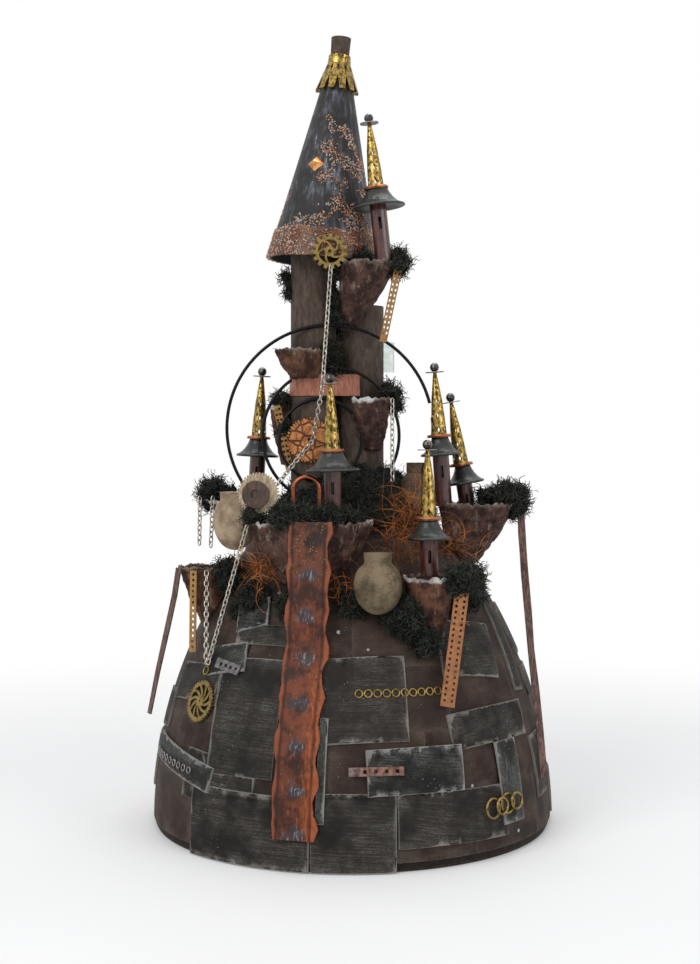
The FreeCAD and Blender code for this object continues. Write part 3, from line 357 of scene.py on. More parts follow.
@dataclass(frozen=True)
class PulpFinish:
    """Moulded pulp: fibrous, with pale scratches that run down the cup and a torn whitish rim."""

    name: str
    dark: Colour
    light: Colour
    pale: Colour

    def material(self) -> bpy.types.Material:
        """Builds the material; the rim's share comes from the piece's own attribute.

        Returns:
            The material.
        """
        bench = Bench(self.name)
        rim = bench.told("rim")
        long = bench.speckle(1.0, 7.0, 0.78, bench.stretched((190, 190, 34)))
        knots = bench.speckle(90.0, 5.0, 0.65)
        grit = bench.speckle(900.0, 3.0, 0.7)
        colour = bench.mix(knots.step(0.35, 0.68), self.dark, self.light)
        scratches = long.step(0.53, 0.7) * 0.8
        colour = bench.mix(scratches, colour, self.pale)
        torn = (rim + (knots - 0.5) * 0.9).step(0.42, 0.95) * grit.step(0.25, 0.6)
        colour = bench.mix(torn * 0.7, colour, shade(170, 158, 148))
        crust = (rim + (knots - 0.5) * 0.5).step(0.45, 0.62) * bench.speckle(17.0, 1.0).step(0.54, 0.6)
        colour = bench.mix(crust * 0.9, colour, shade(226, 224, 222))
        height = long * 0.7 + knots * 0.8 + grit * 0.25
        return bench.done(colour, 0.78 - scratches * 0.2, bench.bump(height, 0.0024), 0.0, specular_ior_level=0.22)


@dataclass(frozen=True)
class RollFinish:
    """A painted card roll: matt, with faint up-and-down brush marks."""

    name: str
    dark: Colour
    light: Colour

    def material(self) -> bpy.types.Material:
        """Builds the material.

        Returns:
            The material.
        """
        bench = Bench(self.name)
        marks = bench.speckle(1.0, 5.0, 0.7, bench.stretched((300, 300, 90)))
        cloud = bench.speckle(30.0, 3.0, 0.6)
        colour = bench.mix(marks.step(0.35, 0.68), self.dark, self.light)
        colour = bench.mix(cloud.step(0.45, 0.75) * 0.45, colour, self.dark)
        # small pale specks: painted glints, painted highlights on the roll's paint
        glint_specks = bench.cells(210.0).step(0.1, 0.05) * bench.speckle(20.0).step(0.58, 0.68)
        colour = bench.mix(glint_specks * 0.7, colour, shade(190, 184, 176))
        return bench.done(colour, 0.66, bench.bump(marks * 0.6 + cloud, 0.0006), 0.0, specular_ior_level=0.18)


@dataclass(frozen=True)
class SpireFinish:
    """The spire's dark card: streaked with blue silver down its length, and rubbed pale in patches."""

    name: str = "spire_card"

    def material(self) -> bpy.types.Material:
        """Builds the material.

        Returns:
            The material.
        """
        bench = Bench(self.name)
        streak = bench.speckle(1.0, 6.0, 0.72, bench.stretched((230, 230, 16)))
        cloud = bench.speckle(26.0, 4.0, 0.6)
        grain = bench.speckle(700.0, 2.0)
        base = bench.mix(cloud.step(0.35, 0.65), shade(16, 15, 17), shade(40, 36, 36))
        silver = streak.step(0.46, 0.68) * cloud.step(0.32, 0.6)
        colour = bench.mix(silver * 0.8, base, shade(112, 117, 130))
        pale = streak.step(0.6, 0.72) * cloud.step(0.52, 0.62)
        colour = bench.mix(pale * 0.7, colour, shade(196, 196, 196))
        height = streak * 0.8 + cloud * 1.2 + grain * 0.15
        return bench.done(colour, 0.5 - silver * 0.12, bench.bump(height, 0.0011), 0.0, specular_ior_level=0.3)


class Metal(Enum):
    """The metals on the castle: its bright colour, its dark one, and how rough it is."""

    OLD_BRASS = (shade(142, 120, 70), shade(30, 25, 14), 0.36)
    GOLD_STRIP = (shade(160, 124, 80), shade(84, 56, 32), 0.42)
    COPPER = (shade(168, 108, 74), shade(70, 42, 28), 0.34)
    PEACH_STRIP = (shade(142, 98, 68), shade(78, 48, 32), 0.45)
    COPPER_WIRE = (shade(146, 82, 58), shade(64, 32, 24), 0.2)
    SILVER = (shade(134, 130, 126), shade(48, 43, 40), 0.36)
    CHAIN = (shade(196, 190, 178), shade(44, 38, 32), 0.26)
    BLACK_WIRE = (shade(34, 34, 36), shade(14, 14, 15), 0.32)


@dataclass(frozen=True)
class MetalFinish:
    """A metal with dark tarnish in its hollows and fine scratches."""

    kind: Metal
    tarnish: float = 0.7

    def material(self) -> bpy.types.Material:
        """Builds the material.

        Returns:
            The material.
        """
        bright, dark, rough = self.kind.value
        bench = Bench(self.kind.name.lower())
        cloud = bench.speckle(210.0, 4.0, 0.65)
        scratch = bench.speckle(1.0, 3.0, 0.7, bench.stretched((900, 900, 240)))
        stain = cloud.step(0.42, 0.7) * self.tarnish
        colour = bench.mix(stain, bright, dark)
        height = scratch * 0.4 + cloud * 0.6
        metal = 1.0 - stain * 0.35
        return bench.done(colour, stain * 0.3 + rough + scratch * 0.08, bench.bump(height, 0.00025), metal)


@dataclass(frozen=True)
class LaceFinish:
    """Pierced antique brass: bright raised tracery, with painted shade in the dark openings between."""

    name: str = "brass_lace"

    def material(self) -> bpy.types.Material:
        """Builds the material.

        Returns:
            The material.
        """
        bench = Bench(self.name)
        web = bench.cells(1.0, bench.stretched((300, 300, 190)), True)
        fine = bench.cells(640.0, None, True)
        cloud = bench.speckle(240.0, 3.0)
        shaded_openings = web.step(0.12, 0.24) * fine.step(0.02, 0.2)
        tone = bench.mix(cloud.step(0.35, 0.7), shade(178, 150, 82), shade(96, 76, 38))
        # the openings are painted near-black: painted shade where the gaps fall
        colour = bench.mix(shaded_openings * 0.92, tone, shade(18, 15, 10))
        return bench.done(colour, shaded_openings * 0.4 + 0.3, bench.bump(1 - shaded_openings, 0.0006), 1.0 - shaded_openings * 0.8)


@dataclass(frozen=True)
class EngravedFinish:
    """Bright copper with dark engraved curves, as on a clock's plate."""

    name: str = "engraved_copper"

    def material(self) -> bpy.types.Material:
        """Builds the material.

        Returns:
            The material.
        """
        bench = Bench(self.name)
        web = bench.cells(95.0, None, True)
        bands = (bench.speckle(42.0, 1.0) * 60).wave().size()
        cloud = bench.speckle(130.0, 3.0)
        cut = web.step(0.09, 0.03).higher(bands.step(0.2, 0.06))
        tone = bench.mix(cloud.step(0.35, 0.68), shade(206, 140, 88), shade(150, 92, 56))
        colour = bench.mix(cut * 0.85, tone, shade(52, 30, 20))
        return bench.done(colour, cloud * 0.15 + 0.26, bench.bump(1 - cut, 0.0005), 0.9 - cut * 0.4)


@dataclass(frozen=True)
class StudFinish:
    """Bright polished copper, a little clouded."""

    name: str = "stud_copper"

    def material(self) -> bpy.types.Material:
        """Builds the material.

        Returns:
            The material.
        """
        bench = Bench(self.name)
        cloud = bench.speckle(160.0, 3.0)
        colour = bench.mix(cloud.step(0.35, 0.7), shade(236, 178, 116), shade(196, 116, 62))
        return bench.done(colour, cloud * 0.15 + 0.16, bench.bump(cloud, 0.0002), 0.9)


@dataclass(frozen=True)
class BarFinish:
    """The flat connector bars: old silver on the left one and brown copper on the right one."""

    name: str = "bar_metal"

    def material(self) -> bpy.types.Material:
        """Builds the material; the bars lie on either side of the castle's middle.

        Returns:
            The material.
        """
        bench = Bench(self.name)
        sideways, _, _ = bench.apart(bench.place)
        right = sideways.step(-0.02, 0.02)
        cloud = bench.speckle(210.0, 4.0, 0.65)
        scratch = bench.speckle(900.0, 3.0, 0.7)
        bright = bench.mix(right, shade(122, 120, 120), shade(138, 104, 92))
        dark = bench.mix(right, shade(46, 44, 44), shade(58, 38, 32))
        colour = bench.mix(cloud.step(0.38, 0.68) * 0.8, bright, dark)
        return bench.done(colour, cloud * 0.2 + 0.3, bench.bump(scratch + cloud, 0.0003), 0.85)


@dataclass(frozen=True)
class PaintFinish:
    """Brushed gloss paint over wood or card: two tones, streaked along Z, with a clear coat."""

    name: str
    dark: Colour
    light: Colour
    rough: float = 0.4
    coat: float = 0.3
    grain: float = 0.0004

    def material(self) -> bpy.types.Material:
        """Builds the material.

        Returns:
            The material.
        """
        bench = Bench(self.name)
        streak = bench.speckle(1.0, 5.0, 0.7, bench.stretched((520, 520, 90)))
        cloud = bench.speckle(120.0, 3.0, 0.6)
        colour = bench.mix(streak.step(0.38, 0.66), self.dark, self.light)
        colour = bench.mix(cloud.step(0.5, 0.8) * 0.5, colour, self.dark)
        height = streak + cloud * 0.5
        return bench.done(colour, self.rough + cloud * 0.12, bench.bump(height, self.grain), 0.0,
                          coat_weight=self.coat, specular_ior_level=0.3)


@dataclass(frozen=True)
class TuftFinish:
    """Loose strands whose tone goes from strand to strand."""

    name: str
    dark: Colour
    light: Colour
    rough: float = 0.75

    def material(self) -> bpy.types.Material:
        """Builds the material from the strands' own tone.

        Returns:
            The material.
        """
        bench = Bench(self.name)
        tone = bench.told("tone")
        cloud = bench.speckle(180.0, 2.0)
        colour = bench.mix((tone * 0.7 + cloud * 0.5).step(0.2, 0.95), self.dark, self.light)
        return bench.done(colour, self.rough, bench.bump(cloud, 0.0003), 0.0, specular_ior_level=0.2)


@dataclass(frozen=True)
class GourdFinish:
    """A dried shell: tan, with mottled pinkish scales and a dusty bloom."""

    name: str
    dark: Colour
    light: Colour
    scale_colour: Colour
    scaled: float

    def material(self) -> bpy.types.Material:
        """Builds the material.

        Returns:
            The material.
        """
        bench = Bench(self.name)
        cloud = bench.speckle(55.0, 5.0, 0.65)
        grain = bench.speckle(520.0, 3.0, 0.6)
        plates = bench.cells(230.0, None, True)
        colour = bench.mix(cloud.step(0.35, 0.66), self.dark, self.light)
        blotch = plates.step(0.03, 0.22) * bench.speckle(34.0).step(0.42, 0.6) * self.scaled
        colour = bench.mix(blotch, colour, self.scale_colour)
        height = plates.step(0.0, 0.2) * self.scaled + grain * 0.25 + cloud * 0.6
        return bench.done(colour, 0.6 + grain * 0.1, bench.bump(height, 0.0006), 0.0, specular_ior_level=0.25)


@dataclass(frozen=True)
class BannerFinish:
    """The rust banner: orange card with dark wavy rims, spaced blue-grey pads and gold glitter at its top."""

    name: str = "banner_rust"

    def material(self) -> bpy.types.Material:
        """Builds the material; the map runs across in U and down in V, in metres.

        Returns:
            The material.
        """
        bench = Bench(self.name)
        chart = bench.add("ShaderNodeUVMap", {"uv_map": "card"}).outputs[0]
        across, down, _ = bench.apart(chart)
        pad = bench.told("pad")
        rim = bench.told("rim")
        cloud = bench.speckle(60.0, 5.0, 0.66)
        grain = bench.speckle(1.0, 5.0, 0.7, bench.stretched((500, 500, 90)))
        colour = bench.mix(cloud.step(0.38, 0.64), shade(52, 30, 23), shade(112, 60, 40))
        colour = bench.mix(grain.step(0.56, 0.72) * 0.7, colour, shade(172, 98, 60))
        top = down.step(0.085, 0.02)
        colour = bench.mix(top * 0.82, colour, bench.mix(cloud.step(0.4, 0.6), shade(44, 34, 32), shade(96, 58, 44)))
        side = across.step(0.56, 0.9) * down.step(0.1, 0.16) * grain.step(0.34, 0.6)
        colour = bench.mix(side * 0.7, colour, shade(186, 96, 46))
        padded = (pad + (cloud - 0.5) * 0.7).step(0.3, 0.75)
        pad_tone = bench.mix(grain.step(0.52, 0.66), shade(52, 50, 56), shade(142, 144, 150))
        colour = bench.mix(padded * 0.85, colour, pad_tone)
        groove = (rim + (grain - 0.5) * 0.4).step(0.1, 0.4) * rim.step(0.75, 0.5)
        colour = bench.mix(groove * 0.7, colour, shade(40, 24, 20))
        colour = bench.mix((rim + (cloud - 0.5) * 0.6).step(0.6, 0.95) * 0.7, colour, shade(150, 82, 52))
        glitter = bench.cells(520.0).step(0.2, 0.12) * bench.speckle(80.0).step(0.44, 0.56) * top
        colour = bench.mix(glitter, colour, shade(232, 186, 84))
        height = grain * 0.5 + cloud * 0.8
        return bench.done(colour, 0.55 - padded * 0.1, bench.bump(height, 0.0007), glitter * 0.8,
                          specular_ior_level=0.22)


@dataclass(frozen=True)
class BeadFinish:
    """Tiny glossy beads in copper, gold and silver, told apart by their own tone."""

    name: str = "tiny_beads"

    def material(self) -> bpy.types.Material:
        """Builds the material.

        Returns:
            The material.
        """
        bench = Bench(self.name)
        tone = bench.told("tone")
        stops = ((0.0, shade(40, 28, 22)), (0.25, shade(112, 68, 42)), (0.52, shade(190, 124, 74)),
                 (0.7, shade(178, 166, 152)), (1.0, shade(96, 96, 102)))
        metal = tone.step(0.2, 0.6) * 0.6
        return bench.done(bench.ramp(tone, stops), 0.28, None, metal, coat_weight=0.5)


@dataclass(frozen=True)
class GlassFinish:
    """Thin clear glass."""

    name: str = "vial_glass"

    def material(self) -> bpy.types.Material:
        """Builds the material.

        Returns:
            The material.
        """
        bench = Bench(self.name)
        cloud = bench.speckle(200.0, 2.0)
        colour = bench.mix(cloud.step(0.3, 0.7), shade(205, 218, 216), shade(232, 238, 236))
        return bench.done(colour, 0.05 + cloud * 0.05, None, 0.0, transmission_weight=0.9, ior=1.3)


def select_only(*objs: bpy.types.Object) -> None:
    """Deselects everything, then selects these and makes the first active.

    Args:
        objs: the objects to select.
    """
    if bpy.context.object and bpy.context.object.mode != "OBJECT":
        bpy.ops.object.mode_set(mode="OBJECT")
    bpy.ops.object.select_all(action="DESELECT")
    for obj in objs:
        obj.select_set(True)
    bpy.context.view_layer.objects.active = objs[0]


def pick(obj: bpy.types.Object, test: Callable[[Any], bool]) -> int:
    """Selects in edit mode the faces that pass a test on their mesh polygon, and gives their number.

    Args:
        obj: the piece, which is left in edit mode.
        test: the test on one polygon.

    Returns:
        How many faces passed.
    """
    bpy.ops.object.mode_set(mode="EDIT")
    bpy.ops.mesh.select_mode(type="FACE")
    bpy.ops.mesh.select_all(action="DESELECT")
    bpy.ops.object.mode_set(mode="OBJECT")
    count = 0
    for face in obj.data.polygons:
        face.select = test(face)
        count += face.select
    bpy.ops.object.mode_set(mode="EDIT")
    return count


def settle(obj: bpy.types.Object, smooth: float | None = None) -> bpy.types.Object:
    """Leaves edit mode, puts the object's place into its mesh, and rounds its shading.

    Args:
        obj: the piece.
        smooth: the widest angle in degrees that is shaded round, or None for flat.

    Returns:
        The piece.
    """
    select_only(obj)
    for modifier in list(obj.modifiers):
        bpy.ops.object.modifier_apply(modifier=modifier.name)
    bpy.ops.object.transform_apply(location=True, rotation=True, scale=True)
    if smooth is not None:
        bpy.ops.object.shade_smooth_by_angle(angle=math.radians(smooth))
    return obj


def note(obj: bpy.types.Object, name: str, values: Sequence[float]) -> None:
    """Writes one number per corner of the mesh as the piece's own attribute."""
    made = obj.data.attributes.get(name) or obj.data.attributes.new(name, "FLOAT", "POINT")
    made.data.foreach_set("value", list(values))


def dressed(obj: bpy.types.Object, name: str, material: bpy.types.Material,
            nodes: Sequence[str] = ()) -> bpy.types.Object:
    """Names a piece, gives it its finish and says which nodes of the model it stands for.

    Args:
        obj: the piece.
        name: its name.
        material: its finish.
        nodes: the nodes that it replaces.

    Returns:
        The piece.
    """
    obj.name = name
    obj.data.name = name
    obj.data.materials.clear()
    obj.data.materials.append(material)
    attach(obj, ROOT)
    if nodes:
        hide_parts(*nodes)
    LOG.info("%s: %d faces", name, len(obj.data.polygons))
    return obj


def copy_of(node: bpy.types.Object) -> bpy.types.Object:
    """Copies a node of the model and merges its doubles.

    Args:
        node: the node's object.

    Returns:
        The copy, which is selected.
    """
    twin = bpy.data.objects.new(node.name + "_twin", node.data.copy())
    bpy.context.scene.collection.objects.link(twin)
    twin.data.materials.clear()
    select_only(twin)
    bpy.ops.object.mode_set(mode="EDIT")
    bpy.ops.mesh.select_all(action="SELECT")
    bpy.ops.mesh.remove_doubles(threshold=0.00002)
    bpy.ops.mesh.normals_make_consistent(inside=False)
    bpy.ops.object.mode_set(mode="OBJECT")
    for layer in list(twin.data.uv_layers):
        twin.data.uv_layers.remove(layer)
    return twin


def remeshed(node: bpy.types.Object, voxel: float) -> bpy.types.Object:
    """Copies a node of the model and gives the copy an even, fine mesh.

    Args:
        node: the node's object.
        voxel: the size of the new mesh's faces.

    Returns:
        The copy.
    """
    obj = copy_of(node)
    finer = obj.modifiers.new("finer", "REMESH")
    finer.mode = "VOXEL"
    finer.voxel_size = voxel
    return settle(obj)


def move_corners(obj: bpy.types.Object, places: Sequence[Vector]) -> None:
    """Moves each corner of the mesh to its new place."""
    for vertex, place in zip(obj.data.vertices, places):
        vertex.co = place


def map_cards(mesh: bpy.types.Mesh, spots: Sequence[tuple[float, float]]) -> None:
    """Writes the map named card, from one spot per corner of the mesh."""
    layer = mesh.uv_layers.new(name="card")
    for loop in mesh.loops:
        layer.data[loop.index].uv = spots[loop.vertex_index]


def islands(mesh: bpy.types.Mesh) -> list[list[int]]:
    """Groups the mesh's corners by the connected parts that they belong to.

    Args:
        mesh: the mesh.

    Returns:
        The corners' numbers, one list for each part.
    """
    parent = list(range(len(mesh.vertices)))

    def root(i: int) -> int:
        """Finds the group's first corner.

        Args:
            i: any corner of the group.

        Returns:
            The first corner's number.
        """
        while parent[i] != i:
            parent[i] = parent[parent[i]]
            i = parent[i]
        return i

    for edge in mesh.edges:
        a, b = (root(i) for i in edge.vertices)
        if a != b:
            parent[a] = b
    groups: dict[int, list[int]] = {}
    for i in range(len(parent)):
        groups.setdefault(root(i), []).append(i)
    return list(groups.values())


@dataclass(frozen=True)
class Pattern:
    """One small shape that is modelled once and laid many times into one mesh."""

    points: tuple[tuple[float, float, float], ...]
    faces: tuple[tuple[int, ...], ...]

    @classmethod
    def of(cls, obj: bpy.types.Object) -> "Pattern":
        """Reads the shape from a modelled object, which is then taken away.

        Args:
            obj: the modelled object.

        Returns:
            The pattern.
        """
        points = tuple(tuple(v.co) for v in obj.data.vertices)
        faces = tuple(tuple(face.vertices) for face in obj.data.polygons)
        mesh = obj.data
        bpy.data.objects.remove(obj)
        bpy.data.meshes.remove(mesh)
        return cls(points, faces)

    def laid(self, name: str, places: Sequence[Matrix], tones: Sequence[float]) -> bpy.types.Object:
        """Lays the shape at each place.

        Args:
            name: the new object's name.
            places: one matrix per copy.
            tones: one number per copy, kept as the attribute "tone".

        Returns:
            The object with all of the copies.
        """
        base = [Vector(p) for p in self.points]
        points: list[Vector] = []
        faces: list[tuple[int, ...]] = []
        shades: list[float] = []
        for place, tone in zip(places, tones):
            start = len(points)
            points += [place @ p for p in base]
            faces += [tuple(start + i for i in face) for face in self.faces]
            shades += [tone] * len(base)
        mesh = bpy.data.meshes.new(name)
        mesh.from_pydata(points, [], faces)
        obj = bpy.data.objects.new(name, mesh)
        bpy.context.scene.collection.objects.link(obj)
        note(obj, "tone", shades)
        mesh.shade_smooth()
        return obj


@dataclass
class CardPlates:
    """The overlapping cards on the dome: each gets its own tone, map and worn rim."""

    nodes: dict[str, bpy.types.Object]
    names: tuple[str, ...] = ("plates_first", "plates_second", "plates_third")
    rim: float = 0.0015
    outer: float = 0.6
    square: float = 1.7
    seed: int = 11

    def finish_of(self, name: str) -> CardFinish:
        """Gives the finish of one layer.

        Args:
            name: the layer's node.

        Returns:
            The finish.
        """
        if name == "plates_first":
            return CardFinish("card_under", shade(34, 26, 23), shade(66, 52, 44), shade(112, 102, 94),
                              shade(128, 112, 98), 0.45)
        if name == "plates_second":
            return CardFinish("card_middle", shade(19, 18, 18), shade(46, 41, 36), shade(130, 128, 122),
                              shade(156, 150, 142), 0.65)
        return CardFinish("card_top", shade(16, 16, 17), shade(40, 39, 36), shade(150, 152, 150),
                          shade(176, 174, 168), 0.7)

    def outward(self, spot: Vector) -> Vector:
        """Gives the dome's outward direction at a place.

        Args:
            spot: the place.

        Returns:
            The direction, of length 1.
        """
        low = Vector((0, 0, 0.04))
        away = spot - low
        away.z *= 0.55
        return away.normalized()

    def build(self) -> None:
        """Builds every layer."""
        for name in self.names:
            self.layer(name)

    def layer(self, name: str) -> bpy.types.Object:
        """Copies one layer, insets each card's face for its rim, and charts the cards.

        Args:
            name: the layer's node.

        Returns:
            The dressed layer.
        """
        obj = copy_of(self.nodes[name])
        pick(obj, lambda face: face.normal.dot(self.outward(face.center)) > self.outer)
        bpy.ops.mesh.inset(thickness=self.rim, depth=0.0, use_boundary=True, use_even_offset=True,
                           use_select_inset=True)
        bpy.ops.object.mode_set(mode="OBJECT")
        self.chart(obj)
        settle(obj)
        return dressed(obj, name + "_painted", self.finish_of(name).material(), [name])

    def chart(self, obj: bpy.types.Object) -> None:
        """Writes each card's map, size, tone and rim.

        Args:
            obj: the layer, with its rims inset.
        """
        mesh = obj.data
        rng = random.Random(self.seed)
        count = len(mesh.vertices)
        maps = [(0.0, 0.0)] * count
        wide, tall, tone = [0.0] * count, [0.0] * count, [0.0] * count
        border = [0.0] * count
        faces_of: dict[int, list[int]] = {}
        for face in mesh.polygons:
            for i in face.vertices:
                faces_of.setdefault(i, []).append(face.index)
        for group in islands(mesh):
            spots = [mesh.vertices[i].co for i in group]
            middle = sum(spots, Vector()) / len(spots)
            out = self.outward(middle)
            side = Vector((0, 0, 1)).cross(out).normalized()
            rise = out.cross(side)
            sums = [0.0, 0.0, 0.0]
            for spot in spots:
                u, v = (spot - middle).dot(side), (spot - middle).dot(rise)
                sums = [sums[0] + u * u, sums[1] + v * v, sums[2] + u * v]
            turn = 0.5 * math.atan2(2 * sums[2], sums[0] - sums[1])
            if max(sums[:2]) < self.square * min(sums[:2]):
                turn = 0.0
            long = side * math.cos(turn) + rise * math.sin(turn)
            short = out.cross(long)
            us = [(s - middle).dot(long) for s in spots]
            vs = [(s - middle).dot(short) for s in spots]
            low_u, low_v = min(us), min(vs)
            span_u, span_v = max(us) - low_u or 1.0, max(vs) - low_v or 1.0
            shade_of_card = rng.random()
            for i, u, v in zip(group, us, vs):
                maps[i] = ((u - low_u) / span_u, (v - low_v) / span_v)
                wide[i], tall[i], tone[i] = span_u, span_v, shade_of_card
        for i in range(count):
            out = self.outward(mesh.vertices[i].co)
            facing = [mesh.polygons[f].normal.dot(out) for f in faces_of.get(i, [])]
            border[i] = 1.0 if facing and min(facing) < 0.5 else 0.0
        map_cards(mesh, maps)
        for label, values in (("wide", wide), ("tall", tall), ("tone", tone), ("rim", border)):
            note(obj, label, values)


@dataclass
class PulpCups:
    """The moulded pulp cups: their walls are made finer, roughened and torn along the rim."""

    nodes: dict[str, bpy.types.Object]
    names: tuple[str, ...] = ("cup_under_spire", "cup_left_roll", "cup_right_roll", "cup_left_side", "cup_front",
                              "cup_left_low", "cup_left_high", "cup_front_right", "cup_right")
    voxel: float = 0.0017
    most_across: int = 110
    rough: float = 0.0016
    bark: float = 0.0013
    shrink: float = 0.0004
    tear: float = 0.0045
    rise: float = 0.0015
    rim_depth: float = 0.012
    litter_tries: int = 2600
    seed: int = 21

    def build(self) -> None:
        """Builds every cup with the finish of its own tone."""
        rng = random.Random(self.seed)
        litter = TuftFinish("cup_litter", shade(16, 13, 10), shade(74, 60, 44)).material()
        bit = strand(3, 0.0004, [(0.0012, 40, 30)] * 5)
        plum = PulpFinish("pulp_plum", shade(46, 31, 28), shade(100, 72, 62), shade(160, 142, 130)).material()
        brown = PulpFinish("pulp_brown", shade(50, 31, 24), shade(112, 76, 58), shade(164, 142, 124)).material()
        for i, name in enumerate(self.names):
            cup = self.cup(name, (plum, brown)[i % 2])
            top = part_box(name)[1].z
            spots = strewn(cup.data, self.litter_tries, rng,
                           lambda place, facing: facing.z > 0.75 and place.z < top - self.rise)
            places = [spot.stood(rng, rng.uniform(0.7, 1.2), 0.8) for spot in spots
                      if top - spot.place.z < self.rim_depth]
            if places:
                label = name + "_litter"
                dressed(bit.laid(label, places, [rng.random() for _ in places]), label, litter)

    def cup(self, name: str, material: bpy.types.Material) -> bpy.types.Object:
        """Remeshes one cup, then roughens it and tears its rim.

        Args:
            name: the cup's node.
            material: its finish.

        Returns:
            The dressed cup.
        """
        low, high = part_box(name)
        obj = remeshed(self.nodes[name], max(self.voxel, (high - low).length / self.most_across))
        places, rims = [], []
        for vertex in obj.data.vertices:
            spot = vertex.co
            share = max(0.0, 1 - (high.z - spot.z) / self.rim_depth)
            ripple = noise.noise(spot * 140) * 0.6 + noise.noise(spot * 420) * 0.4
            bark = noise.noise(Vector((spot.x * 230, spot.y * 230, spot.z * 42)))
            tear = noise.noise(Vector((spot.x * 260, spot.y * 260, 3.0)))
            shift = vertex.normal * (ripple * self.rough + bark * self.bark - self.shrink)
            shift.z += min(self.rise, tear * self.tear) * share * share
            places.append(spot + shift)
            rims.append(share * 0.8)
        move_corners(obj, places)
        note(obj, "rim", rims)
        settle(obj, 60)
        return dressed(obj, name + "_pulp", material, [name])


@dataclass(frozen=True)
class Spot:
    """A place on a surface and the way the surface faces there."""

    place: Vector
    facing: Vector

    def stood(self, rng: random.Random, scale: float, lean: float) -> Matrix:
        """Gives the matrix that stands a shape's Z on the spot, leaned and turned at random.

        Args:
            rng: the random source.
            scale: how many times larger the shape is made.
            lean: how far it may lean from the facing, where 1 is about 45 degrees.

        Returns:
            The matrix.
        """
        wild = Vector((rng.gauss(0, 1), rng.gauss(0, 1), rng.gauss(0, 1)))
        up = (self.facing + wild * lean * 0.6).normalized()
        turn = up.to_track_quat("Z", "Y").to_matrix().to_4x4()
        spin = Matrix.Rotation(rng.uniform(0, math.tau), 4, "Z")
        return Matrix.Translation(self.place) @ turn @ spin @ Matrix.Scale(scale, 4)


def strewn(mesh: bpy.types.Mesh, count: int, rng: random.Random,
           wanted: Callable[[Vector, Vector], bool]) -> list[Spot]:
    """Strews spots evenly over a mesh and keeps those that are wanted.

    Args:
        mesh: the mesh to strew them on.
        count: how many to try.
        rng: the random source.
        wanted: a test on the place and the facing.

    Returns:
        The spots that pass.
    """
    mesh.calc_loop_triangles()
    triangles = list(mesh.loop_triangles)
    total, reached = 0.0, []
    for triangle in triangles:
        total += triangle.area
        reached.append(total)
    spots = []
    for _ in range(count):
        triangle = triangles[min(bisect.bisect_left(reached, rng.uniform(0, total)), len(triangles) - 1)]
        a, b, c = (mesh.vertices[i].co for i in triangle.vertices)
        u, v = sorted((rng.random(), rng.random()))
        place = a * u + b * (v - u) + c * (1 - v)
        if wanted(place, triangle.normal):
            spots.append(Spot(place, triangle.normal.copy()))
    return spots


def strand(sides: int, thick: float, steps: Sequence[tuple[float, float, float]]) -> Pattern:
    """Models one curling strand: a small ring is extruded and turned again and again.

    Args:
        sides: the ring's corners.
        thick: the ring's radius.
        steps: the length, the turn in degrees and the sideways turn of each extrusion.

    Returns:
        The strand, rooted at the origin and rising along Z at first.
    """
    bpy.ops.object.select_all(action="DESELECT")
    bpy.ops.mesh.primitive_circle_add(vertices=sides, radius=thick, fill_type="NGON", location=(0, 0, 0))
    obj = bpy.context.object
    bpy.ops.object.mode_set(mode="EDIT")
    heading, place = Matrix.Identity(3), Vector()
    for length, turn, swing in steps:
        bent = Matrix.Rotation(math.radians(turn), 3, heading.col[0])
        swung = Matrix.Rotation(math.radians(swing), 3, heading.col[2])
        heading = bent @ swung @ heading
        move = heading.col[2] * length
        place += move
        bpy.ops.mesh.extrude_region_move(TRANSFORM_OT_translate={"value": tuple(move)})
        bpy.ops.transform.resize(value=(TAPER, TAPER, TAPER), center_override=tuple(place))
    bpy.ops.object.mode_set(mode="OBJECT")
    return Pattern.of(obj)


@dataclass
class Moss:
    """The dyed moss: rough dark beds under thousands of small curls."""

    nodes: dict[str, bpy.types.Object]
    names: tuple[str, ...] = ("moss_mound", "moss_upper", "moss_middle", "moss_lower")
    voxel: float = 0.0022
    curls_each: int = 4600
    sink: float = 0.0035
    lumps: tuple[tuple[float, float], ...] = ((75, 0.006), (240, 0.004), (520, 0.0016))
    seed: int = 5

    def build(self) -> None:
        """Builds the beds and the curls over them."""
        rng = random.Random(self.seed)
        bed = TuftFinish("moss_bed", shade(10, 11, 9), shade(34, 36, 28)).material()
        tuft = TuftFinish("moss_curl", shade(9, 11, 9), shade(62, 66, 56), 0.45).material()
        tight = strand(3, 0.00042, [(0.0013, 34, 25)] * 6)
        loose = strand(3, 0.00042, [(0.0013, 38, 50)] * 6)
        for name in self.names:
            obj = self.bed(name, bed)
            for pattern, share, label, low, high in ((tight, 0.6, "_curls", 0.8, 1.4),
                                                     (loose, 0.5, "_twigs", 1.0, 1.8)):
                spots = strewn(obj.data, int(self.curls_each * share), rng, lambda place, facing: True)
                places = [spot.stood(rng, rng.uniform(low, high), 0.9) for spot in spots]
                curls = pattern.laid(name + label, places, [rng.random() for _ in places])
                dressed(curls, name + label, tuft)

    def bed(self, name: str, material: bpy.types.Material) -> bpy.types.Object:
        """Roughens one node's lumps into a bed.

        Args:
            name: the node.
            material: the bed's finish.

        Returns:
            The dressed bed.
        """
        obj = remeshed(self.nodes[name], self.voxel)
        sink = 0.0 if name == "moss_mound" else self.sink
        places = []
        for vertex in obj.data.vertices:
            swell = sum(noise.noise(vertex.co * fine) * high for fine, high in self.lumps)
            places.append(vertex.co + vertex.normal * (swell - sink))
        move_corners(obj, places)
        note(obj, "tone", [0.3 + 0.3 * noise.noise(v.co * 300) for v in obj.data.vertices])
        settle(obj, 50)
        return dressed(obj, name + "_bed", material, [name])


@dataclass(frozen=True)
class Tuft:
    """A tuft of loose fibre: its middle, its spread and its number of strands."""

    middle: tuple[float, float, float]
    spread: tuple[float, float, float]
    count: int


